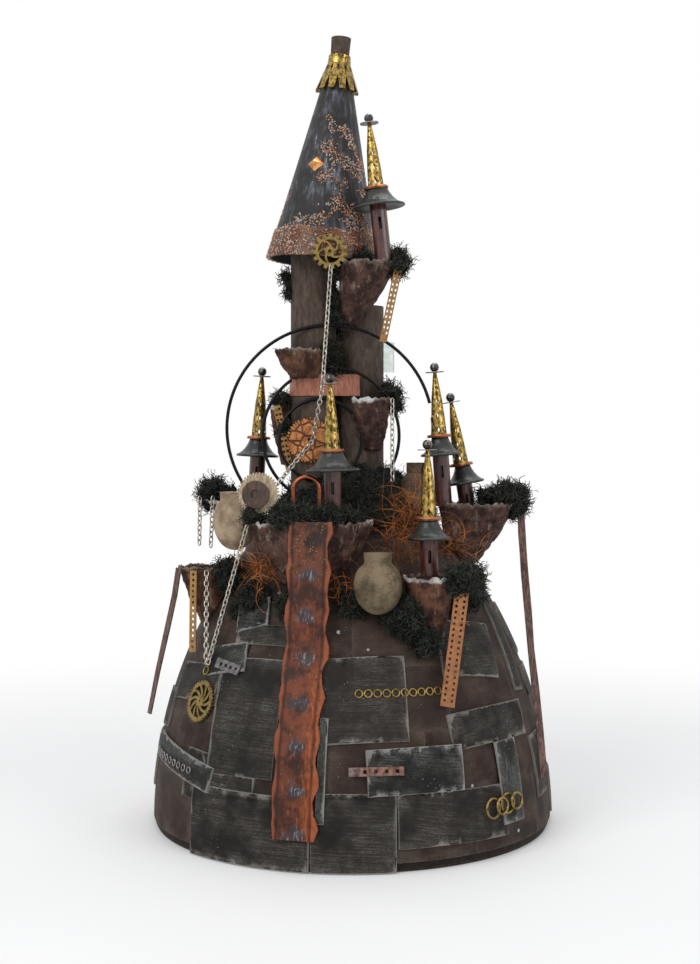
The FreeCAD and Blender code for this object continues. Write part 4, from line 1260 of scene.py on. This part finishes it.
@dataclass
class Fibre:
    """The orange-brown coconut fibre that springs out between the cups."""

    tufts: tuple[Tuft, ...] = (
        Tuft((0.046, -0.100, 0.268), (0.020, 0.012, 0.018), 150),
        Tuft((0.050, -0.088, 0.296), (0.016, 0.010, 0.014), 90),
        Tuft((-0.080, -0.112, 0.240), (0.014, 0.010, 0.010), 80),
        Tuft((0.084, -0.112, 0.262), (0.014, 0.010, 0.010), 60),
        Tuft((-0.002, -0.132, 0.226), (0.012, 0.006, 0.006), 30),
    )
    seed: int = 9

    def build(self) -> None:
        """Lays every tuft's strands into one piece."""
        rng = random.Random(self.seed)
        long = strand(3, 0.00048, [(0.0042, 13, 9)] * 9)
        places, tones = [], []
        for tuft in self.tufts:
            for _ in range(tuft.count):
                place = Vector(tuft.middle) + Vector([rng.gauss(0, s) * 0.6 for s in tuft.spread])
                out = Vector((place.x, place.y, 0)).normalized()
                stray = out * rng.uniform(-0.2, 0.8) + Vector((rng.gauss(0, 0.6), 0, rng.uniform(-0.3, 1)))
                places.append(Spot(place, stray.normalized()).stood(rng, rng.uniform(0.5, 1.1), 0.7))
                tones.append(rng.random())
        piece = long.laid("coir_strands", places, tones)
        finish = TuftFinish("coir_fibre", shade(88, 46, 18), shade(188, 112, 52), 0.55).material()
        dressed(piece, "coir_strands", finish)


@dataclass
class Chains:
    """The curb chains: round wire links, laid where the model has its flat ones."""

    nodes: dict[str, bpy.types.Object]
    names: tuple[str, ...] = ("chain_spire", "chain_pendant", "chain_strands")
    long: float = 0.0035
    wide: float = 0.0025
    wire: float = 0.00062
    end_share: float = 0.97

    def link(self) -> Pattern:
        """Models one link: a ring is stretched into an oval.

        Returns:
            The link, lying flat along X.
        """
        bpy.ops.object.select_all(action="DESELECT")
        bpy.ops.mesh.primitive_torus_add(major_segments=14, minor_segments=6,
                                         major_radius=self.wide - self.wire, minor_radius=self.wire)
        obj = bpy.context.object
        stretch = self.long - self.wide
        bpy.ops.object.mode_set(mode="EDIT")
        for sign in (1, -1):
            pick(obj, lambda face: face.center.x * sign > 0.0001)
            bpy.ops.transform.translate(value=(sign * stretch, 0, 0))
        bpy.ops.object.mode_set(mode="OBJECT")
        return Pattern.of(obj)

    def build(self) -> None:
        """Lays the links of each chain along its own node."""
        finish = MetalFinish(Metal.CHAIN, 0.45).material()
        link = self.link()
        for name in self.names:
            source = copy_of(self.nodes[name])
            places = [self.placed(source.data, group) for group in islands(source.data)]
            bpy.data.objects.remove(source)
            piece = link.laid(name + "_links", places, [0.5] * len(places))
            dressed(piece, name + "_links", finish, [name])

    def mean_way(self, ways: Sequence[Vector], longest: Vector) -> Vector:
        """Gives the mean direction of the longest of some vectors, all turned to one side."""
        ends = [way for way in ways if way.length > longest.length * self.end_share]
        return sum((end if end.dot(longest) > 0 else -end for end in ends), Vector()).normalized()

    def placed(self, mesh: bpy.types.Mesh, group: list[int]) -> Matrix:
        """Finds where one flat link lies: its middle, its long way and its flat way.

        Args:
            mesh: the chain's mesh.
            group: the corners of this link.

        Returns:
            The matrix that lays a link there.
        """
        spots = [mesh.vertices[i].co for i in group]
        middle = sum(spots, Vector()) / len(spots)
        far = max(spots, key=lambda spot: (spot - middle).length) - middle
        ends = [spot - middle for spot in spots]
        long = self.mean_way(ends, far)
        sides = [spot - middle - long * (spot - middle).dot(long) for spot in spots]
        reach = max(sides, key=lambda side: side.length)
        broad = self.mean_way(sides, reach)
        flat = long.cross(broad)
        turn = Matrix((long, broad, flat)).transposed().to_4x4()
        return Matrix.Translation(middle) @ turn


@dataclass(frozen=True)
class Patch:
    """A stripe of crust on the cone between two places, each an azimuth in degrees and a share of the height."""

    start: tuple[float, float]
    end: tuple[float, float]
    half: float

    def gap(self, azimuth: float, share: float) -> float:
        """Gives how far a place lies from the stripe's middle, as a share of the height.

        Args:
            azimuth: the place's azimuth in degrees.
            share: its share of the cone's height.

        Returns:
            The distance.
        """
        start = Vector((self.start[0] * SHARE_OF_DEGREE, self.start[1]))
        run = Vector((self.end[0] * SHARE_OF_DEGREE, self.end[1])) - start
        spot = Vector((azimuth * SHARE_OF_DEGREE, share)) - start
        along = min(1.0, max(0.0, spot.dot(run) / run.length_squared))
        return (spot - run * along).length


@dataclass
class BeadCrust:
    """The crust of tiny beads on the spire: a full rim and ragged slanting patches."""

    nodes: dict[str, bpy.types.Object]
    bead: float = 0.00085
    tries: int = 34000
    band_tries: int = 4200
    most: int = 9800
    foot: tuple[float, float] = (-0.027, -0.015)
    lean: float = 0.0153
    seed: int = 3
    patches: tuple[Patch, ...] = (
        Patch((-104, 0.69), (-52, 0.60), 0.022), Patch((-52, 0.60), (-26, 0.44), 0.022),
        Patch((-96, 0.55), (-72, 0.48), 0.028), Patch((-72, 0.48), (-34, 0.44), 0.042),
        Patch((-104, 0.40), (-84, 0.45), 0.022), Patch((-84, 0.385), (-30, 0.33), 0.006),
        Patch((-74, 0.28), (-52, 0.18), 0.04), Patch((-52, 0.18), (-18, 0.10), 0.06),
        Patch((-134, 0.16), (-100, 0.20), 0.04), Patch((-178, 0.05), (-160, 0.40), 0.008),
        Patch((44, 0.52), (88, 0.40), 0.03), Patch((110, 0.14), (150, 0.2), 0.045),
    )

    def build(self) -> None:
        """Strews the beads over the cone and its band."""
        rng = random.Random(self.seed)
        bpy.ops.object.select_all(action="DESELECT")
        bpy.ops.mesh.primitive_ico_sphere_add(subdivisions=1, radius=self.bead)
        obj = bpy.context.object
        bpy.ops.object.mode_set(mode="EDIT")
        bpy.ops.transform.resize(value=(1, 1, 0.85))
        bpy.ops.object.mode_set(mode="OBJECT")
        grain = Pattern.of(obj)
        low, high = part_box("spire_cone")
        base = Vector((*self.foot, low.z))
        tall = high.z - low.z

        def crusted(place: Vector, facing: Vector) -> bool:
            """Tells whether the crust covers this place.

            Args:
                place: the place on the cone.
                facing: the way that it faces.

            Returns:
                Whether it is covered.
            """
            share = (place.z - base.z) / tall
            away = Vector((place.x - base.x - self.lean * share, place.y - base.y, 0))
            if away.dot(facing) < 0:
                return False
            azimuth = math.degrees(math.atan2(away.y, away.x))
            ragged = noise.noise(place * 85) * 0.035 + noise.noise(place * 240) * 0.03
            if share < 0.1 + ragged * 1.6:
                return True
            return any(patch.gap(azimuth, share) < patch.half + ragged for patch in self.patches)

        spots = strewn(self.nodes["spire_cone"].data, self.tries, rng, crusted)
        spots += strewn(self.nodes["spire_bead_band"].data, self.band_tries, rng, lambda place, facing: True)
        rng.shuffle(spots)
        spots = spots[:self.most]
        places = [spot.stood(rng, rng.uniform(0.7, 1.15), 0.2) for spot in spots]
        tones = [min(1.0, max(0.0, 0.5 + noise.noise(spot.place * 55) * 0.6 + rng.gauss(0, 0.24)))
                 for spot in spots]
        crust = grain.laid("bead_crust", places, tones)
        dressed(crust, "bead_crust", BeadFinish().material())


@dataclass
class FrontBanner:
    """The wide rust banner, puckered along its rims and padded at even steps."""

    nodes: dict[str, bpy.types.Object]
    azimuth: float = -14.8
    half: float = 0.0185
    top: float = 0.286
    slope: float = 1.12
    first: float = 0.05
    step: float = 0.039
    pad_tall: float = 0.0095
    pad_wide: float = 0.0125
    proud: float = 0.0007
    voxel: float = 0.0011

    def build(self) -> None:
        """Remeshes the banner and shapes its pads and rims."""
        obj = remeshed(self.nodes["banner_front"], self.voxel)
        turn = math.radians(self.azimuth)
        across_way = Vector((math.cos(turn), math.sin(turn), 0))
        out_way = Vector((math.sin(turn), -math.cos(turn), 0.35)).normalized()
        mesh = obj.data
        pads, rims, maps, places = [], [], [], []
        for vertex in mesh.vertices:
            spot = vertex.co
            across = spot.dot(across_way)
            down = (self.top - spot.z) * self.slope
            order = (down - self.first) / self.step
            near = abs(order - round(order)) * self.step if order > -0.3 else 1.0
            drift = noise.noise(Vector((0.0, 3.0, down * 60))) * 0.004
            pad = math.exp(-(near / self.pad_tall) ** 2 - ((across - drift) / self.pad_wide) ** 2)
            pad *= 0.75 + noise.noise(spot * 160) * 0.7
            rim = min(1.0, max(0.0, (abs(across) / self.half - 0.62) / 0.34))
            wave = math.sin(down * 330 + across * 60) * 0.0005 * rim
            crease = noise.noise(spot * 120) * self.proud
            sway = across_way * math.sin(down * 161 + 1.2) * self.proud * rim
            places.append(spot + out_way * (pad * self.proud + wave + crease) + sway)
            pads.append(pad)
            rims.append(rim)
            maps.append((across / self.half * 0.5 + 0.5, down))
        move_corners(obj, places)
        map_cards(mesh, maps)
        note(obj, "pad", pads)
        note(obj, "rim", rims)
        settle(obj, 60)
        dressed(obj, "banner_front_puckered", BannerFinish().material(), ["banner_front"])


@dataclass
class TowerRoofs:
    """The small towers' roofs: bell-shaped, with a rolled rim, laid where the model has its plain ones."""

    nodes: dict[str, bpy.types.Object]
    steps: int = 40
    profile: tuple[tuple[float, float], ...] = (
        (0.40, 0.74), (0.46, 0.56), (0.57, 0.36), (0.72, 0.17), (0.88, 0.05), (0.975, 0.02), (1.0, -0.03),
        (0.985, -0.075), (0.94, -0.09), (0.86, -0.06), (0.7, 0.03), (0.5, 0.1), (0.33, 0.12),
    )

    def bell(self) -> Pattern:
        """Models one roof of radius 1: a short profile is spun round Z.

        Returns:
            The roof, standing on the XY plane.
        """
        bpy.ops.object.select_all(action="DESELECT")
        bpy.ops.mesh.primitive_plane_add(size=1.0)
        obj = bpy.context.object
        bpy.ops.object.mode_set(mode="EDIT")
        bpy.ops.mesh.select_all(action="SELECT")
        bpy.ops.mesh.merge(type="CENTER")
        bpy.ops.mesh.select_mode(type="VERT")
        bpy.ops.mesh.select_all(action="SELECT")
        bpy.ops.transform.translate(value=(self.profile[0][0], 0, self.profile[0][1]))
        for before, after in zip(self.profile, self.profile[1:]):
            move = (after[0] - before[0], 0, after[1] - before[1])
            bpy.ops.mesh.extrude_vertices_move(TRANSFORM_OT_translate={"value": move})
        bpy.ops.mesh.select_all(action="SELECT")
        bpy.ops.mesh.spin(steps=self.steps, angle=math.tau, center=(0, 0, 0), axis=(0, 0, 1))
        bpy.ops.mesh.select_all(action="SELECT")
        bpy.ops.mesh.remove_doubles(threshold=0.0001)
        bpy.ops.mesh.normals_make_consistent(inside=False)
        bpy.ops.object.mode_set(mode="OBJECT")
        return Pattern.of(obj)

    def build(self) -> None:
        """Finds each roof's axis and size, and lays the bell there."""
        bell = self.bell()
        source = copy_of(self.nodes["tower_roofs"])
        places = []
        for group in islands(source.data):
            spots = np.array([source.data.vertices[i].co for i in group])
            middle = (spots.max(0) + spots.min(0)) / 2
            _, axes = np.linalg.eigh(np.cov((spots - spots.mean(0)).T))
            up = Vector(axes[:, 0] if axes[2, 0] > 0 else -axes[:, 0])
            along = (spots - middle) @ np.array(up)
            reach = np.linalg.norm(spots - middle - np.outer(along, up), axis=1).max()
            tall = (along.max() - along.min()) / (self.profile[0][1] - BELL_FOOT)
            base = Vector(middle) + up * (along.min() - tall * BELL_FOOT)
            turn = up.to_track_quat("Z", "Y").to_matrix().to_4x4()
            places.append(Matrix.Translation(base) @ turn @ Matrix.Diagonal((reach, reach, tall, 1)))
        bpy.data.objects.remove(source)
        roofs = bell.laid("tower_roofs_bell", places, [0.5] * len(places))
        finish = PaintFinish("roof_green_black", shade(14, 17, 16), shade(48, 52, 46), 0.36, 0.3).material()
        dressed(roofs, "tower_roofs_bell", finish, ["tower_roofs"])


@dataclass
class Stud:
    """The bright copper pyramid on the spire, made a little larger than the model's."""

    nodes: dict[str, bpy.types.Object]
    larger: float = 1.4
    ridge: float = 0.0004

    def build(self) -> None:
        """Enlarges a copy about its own middle and bevels its ridges."""
        obj = copy_of(self.nodes["spire_stud"])
        low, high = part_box("spire_stud")
        middle = (low + high) / 2
        move_corners(obj, [middle + (vertex.co - middle) * self.larger for vertex in obj.data.vertices])
        ridges = obj.modifiers.new("ridges", "BEVEL")
        ridges.width, ridges.segments = self.ridge, 2
        settle(obj, 20)
        dressed(obj, "spire_stud_bright", StudFinish().material(), ["spire_stud"])


@dataclass(frozen=True)
class Shell:
    """One dried gourd: its middle, its radius and height, and how broad its neck is."""

    name: str
    middle: tuple[float, float, float]
    reach: float
    tall: float
    neck: float
    neck_top: float


@dataclass
class Gourds:
    """The two dried gourds, shaped from spheres with flat, flared necks."""

    shells: tuple[Shell, ...] = (
        Shell("gourd_front_shell", (0.022, -0.142, 0.232), 0.0208, 0.0245, 0.0112, 0.0285),
        Shell("gourd_left_shell", (-0.104, -0.084, 0.284), 0.0200, 0.0260, 0.0125, 0.0262),
    )
    shoulder: float = 0.62
    lid: float = 0.995
    flare: float = 0.12

    def build(self) -> None:
        """Builds both shells."""
        front = GourdFinish("gourd_front", shade(70, 62, 46), shade(124, 112, 86),
                            shade(136, 106, 88), 0.6).material()
        left = GourdFinish("gourd_left", shade(120, 102, 82), shade(172, 152, 126),
                           shade(146, 122, 100), 0.2).material()
        for i, (shell, finish) in enumerate(zip(self.shells, (front, left))):
            obj = self.shaped(shell)
            dressed(obj, shell.name, finish, ["gourds"] if i == 0 else ())

    def shaped(self, shell: Shell) -> bpy.types.Object:
        """Models one shell.

        Args:
            shell: its sizes.

        Returns:
            The shell, its neck closed by an inset top.
        """
        bpy.ops.object.select_all(action="DESELECT")
        bpy.ops.mesh.primitive_uv_sphere_add(segments=48, ring_count=32, radius=1.0, location=shell.middle)
        obj = bpy.context.object
        obj.scale = (shell.reach, shell.reach, shell.tall)
        bpy.ops.object.transform_apply(location=True, rotation=False, scale=True)
        middle = Vector(shell.middle)
        for vertex in obj.data.vertices:
            spot = vertex.co - middle
            share = spot.z / shell.tall
            away = Vector((spot.x, spot.y, 0))
            if share > self.shoulder:
                rise = (share - self.shoulder) / (1 - self.shoulder)
                target = shell.neck * (1.0 + self.flare * rise)
                now = away.length or 1.0
                keep = max(0.0, 1 - rise * 3.0)
                if share < self.lid:
                    away = away / now * (now * keep + target * (1 - keep))
                spot.z = shell.tall * self.shoulder + rise * (shell.neck_top - shell.tall * self.shoulder)
            swell = 1 + noise.noise(vertex.co * 60) * 0.05
            vertex.co = middle + Vector((away.x * swell, away.y * swell, spot.z))
        return settle(obj, 55)


@dataclass
class Coats:
    """The finishes of the model's own nodes that are shown as they are."""

    nodes: dict[str, bpy.types.Object]

    def build(self) -> None:
        """Paints every node that no piece replaces."""
        brass = MetalFinish(Metal.OLD_BRASS).material()
        lace = LaceFinish().material()
        copper = MetalFinish(Metal.COPPER).material()
        silver = MetalFinish(Metal.SILVER, 0.5).material()
        roll = RollFinish("roll_taupe", shade(62, 52, 45), shade(92, 79, 69)).material()
        paints = {
            "base_disc": RollFinish("base_card", shade(40, 33, 29), shade(72, 60, 52)).material(),
            "dome_shell": RollFinish("dome_card", shade(22, 18, 16), shade(44, 36, 31)).material(),
            "deck": RollFinish("deck_card", shade(36, 30, 27), shade(62, 52, 46)).material(),
            "keep_left_roll": roll, "keep_right": roll, "keep_rear": roll, "upper_post": roll, "spire_cap": roll,
            "roll_collar": PaintFinish("collar_copper", shade(140, 84, 66), shade(178, 116, 92), 0.32, 0.2).material(),
            "spire_cone": SpireFinish().material(),
            "tower_shafts": PaintFinish("shaft_maroon", shade(44, 22, 20), shade(96, 50, 42), 0.25, 0.7).material(),
            "tower_beads": PaintFinish("bead_bronze", shade(12, 9, 8), shade(46, 33, 26), 0.12, 1.0).material(),
            "gear_wood": PaintFinish("gear_cream", shade(146, 126, 100), shade(206, 190, 160), 0.6, 0.0).material(),
            "gear_wood_hub": PaintFinish("hub_brown", shade(44, 30, 24), shade(92, 66, 50), 0.4, 0.3).material(),
            "tower_rings": copper, "gear_clock": EngravedFinish().material(),
            "copper_strip": MetalFinish(Metal.PEACH_STRIP, 0.35).material(),
            "copper_arch": MetalFinish(Metal.COPPER_WIRE, 0.4).material(),
            "gold_strips": MetalFinish(Metal.GOLD_STRIP, 0.35).material(),
            "spire_fringe": lace, "tower_laces": lace, "gear_brass": brass, "pendant_gear": brass,
            "pendant_ring": brass, "brass_link_row": brass, "brass_loops": brass,
            "tower_discs": silver, "connector_bars": BarFinish().material(), "ring_row": silver,
            "spire_bead_band": PaintFinish("band_glue", shade(58, 36, 24), shade(118, 72, 46), 0.5, 0.2).material(),
            "wire_hoops": MetalFinish(Metal.BLACK_WIRE, 0.3).material(),
            "glass_vial": GlassFinish().material(),
            "side_banners": PaintFinish("banner_brown", shade(58, 42, 38), shade(128, 96, 84), 0.55, 0.1).material(),
            "squat_pot": GourdFinish("pot_shell", shade(66, 52, 42), shade(112, 92, 74),
                                     shade(120, 92, 76), 0.4).material(),
        }
        for name, material in paints.items():
            node = self.nodes[name]
            if node.hide_render:
                continue
            node.data.materials.clear()
            node.data.materials.append(material)
        LOG.info("coats: %d nodes painted", len(paints))


@dataclass
class Studio:
    """The floor, the lamps and the camera at the photograph's view."""

    focal_px: float = 1422.0
    distance: float = 1.351
    height: float = 0.356
    centre_px: float = 352.0
    horizon_px: float = 440.0
    frame_px: tuple[int, int] = (700, 964)
    sensor: float = 36.0

    def build(self) -> None:
        """Builds the whole studio."""
        self.floor()
        self.lamps()
        self.camera()
        self.world()
        bpy.context.scene.view_settings.view_transform = "Standard"

    def floor(self) -> None:
        """Lays a pale floor that the camera sees as white, with the castle's shadow."""
        bpy.ops.object.select_all(action="DESELECT")
        bpy.ops.mesh.primitive_plane_add(size=14.0, location=(0, 0, -0.0004))
        plane = bpy.context.object
        bpy.ops.object.transform_apply(location=True, rotation=True, scale=True)
        plane.name = "studio_floor"
        bench = Bench("floor_white")
        speck = bench.speckle(3.0, 2.0)
        across, back, _ = bench.apart(bench.place)
        away = ((across * across + back * back) ** 0.5).step(0.34, 1.1)
        bench.done(bench.mix(speck, shade(240, 240, 240), shade(246, 246, 246)), 0.9)
        glow = bench.add("ShaderNodeEmission", {}, {"Color": (1, 1, 1), "Strength": 1.0})
        seen = Level(bench, bench.add("ShaderNodeLightPath").outputs["Is Camera Ray"])
        inputs = {0: seen * (0.16 + away * 0.84), 1: bench.shader.outputs[0], 2: glow.outputs[0]}
        both = bench.add("ShaderNodeMixShader", {}, inputs)
        bench.feed(bench.nodes["Material Output"].inputs["Surface"], both.outputs[0])
        plane.data.materials.append(bench.material)

    def lamps(self) -> None:
        """Hangs soft lamps to the front left, the right and behind."""
        for name, spot, size, power in (("lamp_left", (-1.5, -1.9, 1.9), 1.6, 34.0),
                                        ("lamp_right", (1.9, -1.5, 1.2), 1.4, 17.0),
                                        ("lamp_top", (0.1, 0.3, 2.4), 1.5, 22.0)):
            data = bpy.data.lights.new(name, "AREA")
            data.energy, data.size = power, size
            lamp = bpy.data.objects.new(name, data)
            bpy.context.scene.collection.objects.link(lamp)
            lamp.location = spot
            aim = Vector((0, 0, 0.3)) - Vector(spot)
            lamp.rotation_euler = aim.to_track_quat("-Z", "Y").to_euler()

    def camera(self) -> None:
        """Sets the camera from the photograph's focal length, horizon and axis."""
        data = bpy.data.cameras.new("camera")
        camera = bpy.data.objects.new("camera", data)
        bpy.context.scene.collection.objects.link(camera)
        long_side = max(self.frame_px)
        data.sensor_width = self.sensor
        data.lens = self.focal_px / long_side * self.sensor
        data.shift_x = -(self.centre_px - self.frame_px[0] / 2) / long_side
        data.shift_y = (self.horizon_px - self.frame_px[1] / 2) / long_side
        camera.location = (0, -self.distance, self.height)
        camera.rotation_euler = (math.radians(90), 0, 0)
        bpy.context.scene.camera = camera

    def world(self) -> None:
        """Lights the world evenly and shows it white."""
        bench = Bench("studio_world", True)
        bench.feed(bench.shader.inputs["Color"], (0.95, 0.97, 1.0))
        bench.feed(bench.shader.inputs["Strength"], 0.42)
        white = bench.add("ShaderNodeBackground", {}, {"Color": (1, 1, 1)})
        rays = bench.add("ShaderNodeLightPath").outputs
        seen = Level(bench, rays["Is Camera Ray"]).higher(rays["Is Glossy Ray"])
        mixed = bench.add("ShaderNodeMixShader", {}, {0: seen, 1: bench.shader.outputs[0], 2: white.outputs[0]})
        bench.feed(bench.nodes["World Output"].inputs["Surface"], mixed.outputs[0])
        bpy.context.scene.world = bench.material


def main() -> None:
    """Builds the castle's pieces in order, then the studio."""
    logging.basicConfig(level=logging.INFO, format="%(name)s: %(message)s")
    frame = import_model()
    nodes = frame["nodes"]
    CardPlates(nodes).build()
    PulpCups(nodes).build()
    Moss(nodes).build()
    Fibre().build()
    Chains(nodes).build()
    BeadCrust(nodes).build()
    FrontBanner(nodes).build()
    TowerRoofs(nodes).build()
    Gourds().build()
    Stud(nodes).build()
    Coats(nodes).build()
    Studio().build()


if __name__ == "__main__":
    main()
